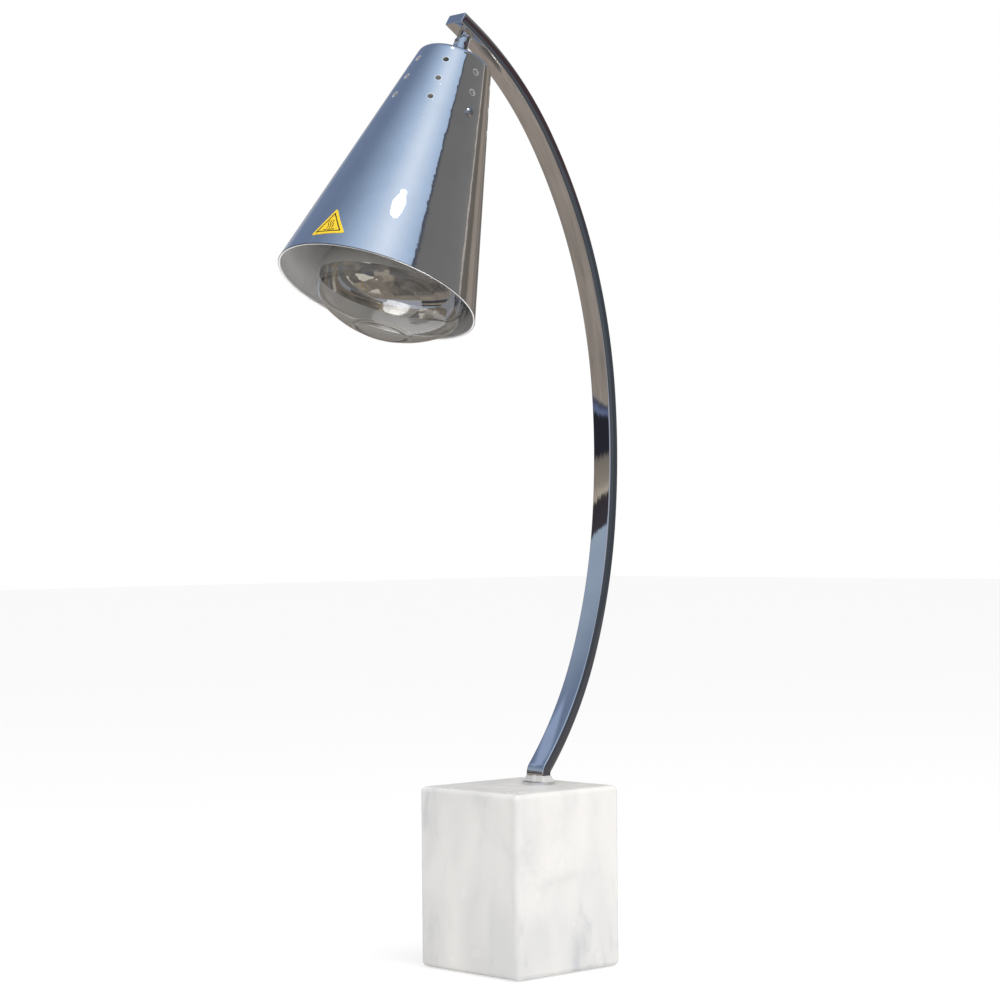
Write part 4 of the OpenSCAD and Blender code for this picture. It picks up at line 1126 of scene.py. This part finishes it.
# ------------------------------------------------------------------ surroundings
class Surroundings(Graph):
    """What mirrors and glass see; angles are in degrees, azimuth from +X towards +Y."""

    def __init__(self, tree):
        super().__init__(tree)
        self.ray = self.node("ShaderNodeTexCoord").outputs["Generated"]
        split = self.node("ShaderNodeSeparateXYZ")
        self.put(split.inputs[0], self.ray)
        x, y, z = split.outputs
        self.elevation = self.times(self.math("ARCSINE", z), DEG)
        azimuth = self.times(self.math("ARCTAN2", y, x), DEG)
        negative = self.math("LESS_THAN", azimuth, 0.0)
        self.azimuth = self.plus(azimuth, self.times(negative, 360.0))
        self.fine = self.minus(self.noise(self.ray, 30.0, detail=4.0, rough=0.6), 0.5)
        self.coarse = self.minus(self.noise(self.ray, 9.0, detail=4.0, rough=0.6), 0.5)
        self.path = self.node("ShaderNodeLightPath").outputs

    def angle_from(self, towards):
        return self.math("ARCCOSINE", self.vector("DOT_PRODUCT", self.ray, towards))

    def sky(self):
        """Brightest towards the light, paler near the horizon."""
        azimuth, elevation = self.azimuth, self.elevation
        light = tuple(direction(azimuth=72, elevation=60))
        away = self.times(self.angle_from(light), DEG / 180.0)
        # degrees from the light, colour
        sky = self.ramp(away, (
            (0, (209, 221, 238)), (5, (203, 216, 234)), (12, (188, 204, 224)),
            (22, (167, 187, 212)), (32, (150, 170, 196)), (42, (134, 152, 177)),
            (52, (118, 136, 161)), (62, (107, 123, 149)), (72, (103, 117, 143)),
            (90, (106, 121, 147)), (120, (112, 126, 150)), (180, (120, 134, 156))),
            width=180.0)
        far_side = self.times(self.step(azimuth, (288, 302)), 1.0)
        pale = self.math(
            "MAXIMUM", self.step(elevation, (27, 10), to=(0.0, 0.85)),
            self.times(far_side, self.step(elevation, (38, 14), to=(0.0, 0.75))))
        haze = self.mix(far_side, rgb(150, 165, 182), rgb(170, 174, 188))
        haze = self.mix(far_side, rgb(170, 174, 188), rgb(150, 165, 182))
        sky = self.mix(pale, sky, haze)
        patch = self.times(self.window(azimuth, (280, 287), (304, 297)),
                           self.window(elevation, (30, 34), (48, 44)))
        return self.mix(patch, sky, rgb(140, 157, 187))

    def add_wall(self, behind):
        """A dark wall to one side, with paler and darker strips past its corner."""
        azimuth, elevation = self.azimuth, self.elevation
        place = self.math("DIVIDE", self.plus(azimuth, self.times(self.fine, 1.0)), 360.0)
        # azimuth, colour
        wall = self.ramp(place, (
            (100, (66, 71, 82)), (112.5, (74, 79, 90)), (114.5, (80, 84, 90)),
            (115.6, (107, 106, 106)), (140, (108, 108, 108)), (158, (112, 112, 112)),
            (164.5, (118, 117, 116)), (166.6, (116, 112, 110)), (167.4, (182, 174, 167)),
            (168.6, (180, 172, 165)), (169.6, (104, 99, 93)), (179, (98, 93, 86)),
            (183, (141, 132, 123)), (191, (142, 133, 124)), (197, (126, 118, 110)),
            (203, (124, 117, 110)), (209, (99, 94, 92)), (216, (112, 106, 102)),
            (221, (140, 136, 128)), (232, (150, 148, 146))), width=360.0)
        siding = self.math("SINE", self.times(elevation, 14.0))
        wall = self.mix(self.times(self.plus(siding, 1.0), 0.035), wall, rgb(60, 62, 66))
        shadow = self.times(self.step(elevation, (14, 11.5)), self.step(azimuth, (170, 164)))
        mottled = self.mix(self.step(self.coarse, (-0.2, 0.2)),
                           rgb(58, 62, 69), rgb(80, 84, 91))
        wall = self.mix(shadow, wall, mottled)
        eave = self.times(self.window(elevation, (8.0, 9.0), (15.5, 14.0)),
                          self.step(azimuth, (160, 150)))
        wall = self.mix(eave, wall, rgb(66, 54, 57))
        top = self.step(azimuth, (167.5, 170.5), to=(56.0, 19.0))
        ragged = self.plus(azimuth, self.times(self.fine, 2.4))
        mask = self.times(self.step(ragged, (111.2, 111.9)), self.step(azimuth, (240, 234)),
                          self.step(self.minus(top, elevation), (-0.3, 0.3)))
        return self.mix(mask, behind, wall)

    def add_horizon(self, behind):
        """Dark and tan bits along the horizon."""
        def ragged():
            return self.plus(self.elevation, self.times(self.fine, 1.6))
        # elevation, colour
        band = self.ramp(self.math("DIVIDE", self.plus(ragged(), 10.0), 30.0), (
            (-2.6, (118, 112, 108)), (-2.2, (60, 62, 78)), (-1.5, (98, 110, 142)),
            (-1.1, (38, 38, 46)), (2.3, (40, 40, 48)), (2.8, (118, 111, 104)),
            (4.9, (134, 127, 117)), (6.0, (170, 161, 147)), (6.3, (52, 48, 52)),
            (9.2, (58, 56, 62)), (9.8, (140, 152, 166))), start=-10.0, width=30.0)
        mask = self.times(self.step(self.azimuth, (262, 275)),
                          self.times(self.step(ragged(), (9.8, 9.2)),
                                     self.step(self.elevation, (-2.8, -2.4))))
        return self.mix(mask, behind, band)

    def add_ground(self, behind):
        """Ground with paler and darker patches, sharper straight below."""
        elevation = self.elevation
        patches = self.noise(self.ray, 5.0, detail=5.0, rough=0.62, distortion=0.5)
        ground = self.ramp(patches, (
            (0.25, (112, 105, 100)), (0.45, (132, 124, 117)), (0.6, (140, 132, 124)),
            (0.8, (158, 150, 141))))
        deep = self.step(elevation, (-22, -40))
        ground = self.mix(self.times(deep, 0.5), ground, rgb(152, 143, 134))
        spots = self.noise(self.ray, 3.4, detail=6.0, rough=0.62, distortion=1.2)
        beneath = self.ramp(spots, (
            (0.30, (62, 62, 66)), (0.42, (96, 93, 90)), (0.47, (146, 138, 129)),
            (0.56, (166, 158, 148)), (0.60, (204, 200, 194)), (0.66, (228, 226, 222)),
            (0.70, (120, 116, 112))))
        ground = self.mix(self.step(elevation, (-43, -52)), ground, beneath)
        under_wall = self.times(self.window(self.azimuth, (112, 118), (170, 160)),
                                self.step(elevation, (-12, -7)))
        ground = self.mix(under_wall, ground, rgb(80, 80, 84))
        return self.mix(self.step(elevation, (-2.2, -2.8)), behind, ground)

    def add_view_through_glass(self, behind):
        """What shows through the bulb: the ground close by, with sharper shapes."""
        bent = self.vector("ADD", self.ray, self.shift(self.ray, scale=3.5, detail=3.0, by=0.30))
        cells = self.node("ShaderNodeTexVoronoi", feature="F1")
        self.fill(cells, {"Vector": bent, "Scale": 2.6})
        pick = self.node("ShaderNodeSeparateColor")
        self.put(pick.inputs[0], cells.outputs["Color"])
        near = self.ramp(pick.outputs[0], (
            (0.0, (58, 58, 63)), (0.20, (88, 87, 90)), (0.34, (132, 124, 116)),
            (0.48, (160, 151, 140)), (0.62, (108, 103, 99)), (0.74, (150, 125, 74)),
            (0.79, (66, 66, 72)), (0.90, (236, 233, 226))), interpolation="CONSTANT")
        blurred = self.noise(self.ray, 2.0, detail=4.0, rough=0.5, distortion=0.6)
        soft = self.ramp(blurred, (
            (0.30, (62, 62, 66)), (0.44, (108, 103, 99)), (0.52, (160, 151, 140)),
            (0.60, (120, 113, 107)), (0.70, (70, 70, 74))))
        through = self.times(self.path["Is Transmission Ray"],
                             self.step(self.elevation, (-9, -17)))
        return self.mix(self.times(through, 0.9), behind, self.mix(0.26, near, soft))

    def cards(self):
        """Two soft cards under the lamp, mirrored by the front of the glass."""
        first_mirror = self.times(
            self.path["Is Glossy Ray"],
            self.math("LESS_THAN", self.path["Transmission Depth"], 0.5),
            self.math("LESS_THAN", self.path["Ray Depth"], 2.5))
        wobble = self.times(self.coarse, 9.0)
        wide = self.times(self.angle_from((-0.290, -0.207, -0.934)), DEG)
        wide = self.step(self.plus(wide, self.times(wobble, 0.2)), (28.5, 26.0))
        narrow = self.times(self.angle_from((0.0956, -0.1215, -0.988)), DEG)
        narrow = self.step(self.plus(narrow, wobble), (11.5, 9.0))
        glow = self.plus(self.times(wide, 2.0), self.times(narrow, 10.0))
        glow = self.times(glow, first_mirror)
        grey = self.node("ShaderNodeCombineXYZ")
        self.fill(grey, {0: glow, 1: glow, 2: glow})
        return grey.outputs[0]


def build_world():
    """Plain white to the camera, even grey to matt faces, the surroundings to the rest."""
    world = bpy.data.worlds.new("studio")
    scene.world = world
    world.use_nodes = True
    g = Surroundings(world.node_tree)
    view = g.add_ground(g.add_horizon(g.add_wall(g.sky())))
    view = g.add_view_through_glass(view)
    view = g.vector("ADD", g.vector("SCALE", view, scale=1.17), g.cards())
    seen = g.math("MAXIMUM", g.path["Is Glossy Ray"], g.path["Is Transmission Ray"])
    lit = g.mix(seen, (0.76, 0.76, 0.765, 1), view)
    background = g.node("ShaderNodeBackground")
    g.fill(background, {
        "Color": g.mix(g.path["Is Camera Ray"], lit, (1.0, 1.0, 1.0, 1)), "Strength": 1.0})
    output = g.node("ShaderNodeOutputWorld")
    g.put(output.inputs[0], background.outputs[0])
    world.cycles.sampling_method = "NONE"


build_world()


# ------------------------------------------------------------------ lights
def add_light(data, towards):
    """Links a light that shines from `towards` and is hidden from the camera."""
    light = bpy.data.objects.new(data.name, data)
    scene.collection.objects.link(light)
    light.rotation_euler = towards.to_track_quat("Z", "Y").to_euler()
    light.visible_camera = False
    return light


def build_key():
    """A large disc high on the +Y side, unseen in mirrors and glass."""
    data = bpy.data.lights.new("key", "AREA")
    data.shape = "DISK"
    data.size = 1.6
    data.energy = 33.0
    data.color = (1.0, 0.985, 0.96)
    towards = direction(azimuth=82, elevation=54)
    key = add_light(data, towards)
    key.location = Vector((0.06, 0, 0.4)) + towards * 2.6
    key.visible_glossy = False
    key.visible_transmission = False


def build_glint():
    """A small sun that only makes highlights."""
    data = bpy.data.lights.new("glint", "SUN")
    data.angle = rad(0.9)
    data.energy = 1.5
    glint = add_light(data, direction(azimuth=74, elevation=78))
    glint.visible_diffuse = False


build_key()
build_glint()


# ------------------------------------------------------------------ camera and render
def build_camera():
    data = bpy.data.cameras.new("camera")
    data.sensor_width = 36.0
    data.sensor_fit = "HORIZONTAL"
    data.lens = 96.604
    data.clip_end = 100.0
    camera = bpy.data.objects.new("camera", data)
    scene.collection.objects.link(camera)
    level = Vector((-0.6873, -0.7263, 0)).normalized()
    upright = Vector((0, 0, 1))
    side = level.cross(upright)
    pitch, roll = rad(0.67), rad(-0.53)
    forward = level * math.cos(pitch) + upright * math.sin(pitch)
    up = upright * math.cos(pitch) - level * math.sin(pitch)
    right = side * math.cos(roll) + up * math.sin(roll)
    up = up * math.cos(roll) - side * math.sin(roll)
    turn = Matrix((right, up, -forward)).transposed().to_4x4()
    camera.matrix_world = Matrix.Translation((1.5772, 1.6466, 0.3688)) @ turn
    scene.camera = camera


build_camera()
scene.view_settings.view_transform = "Standard"
scene.view_settings.look = "None"
scene.cycles.caustics_reflective = False
scene.cycles.sample_clamp_indirect = 1.6
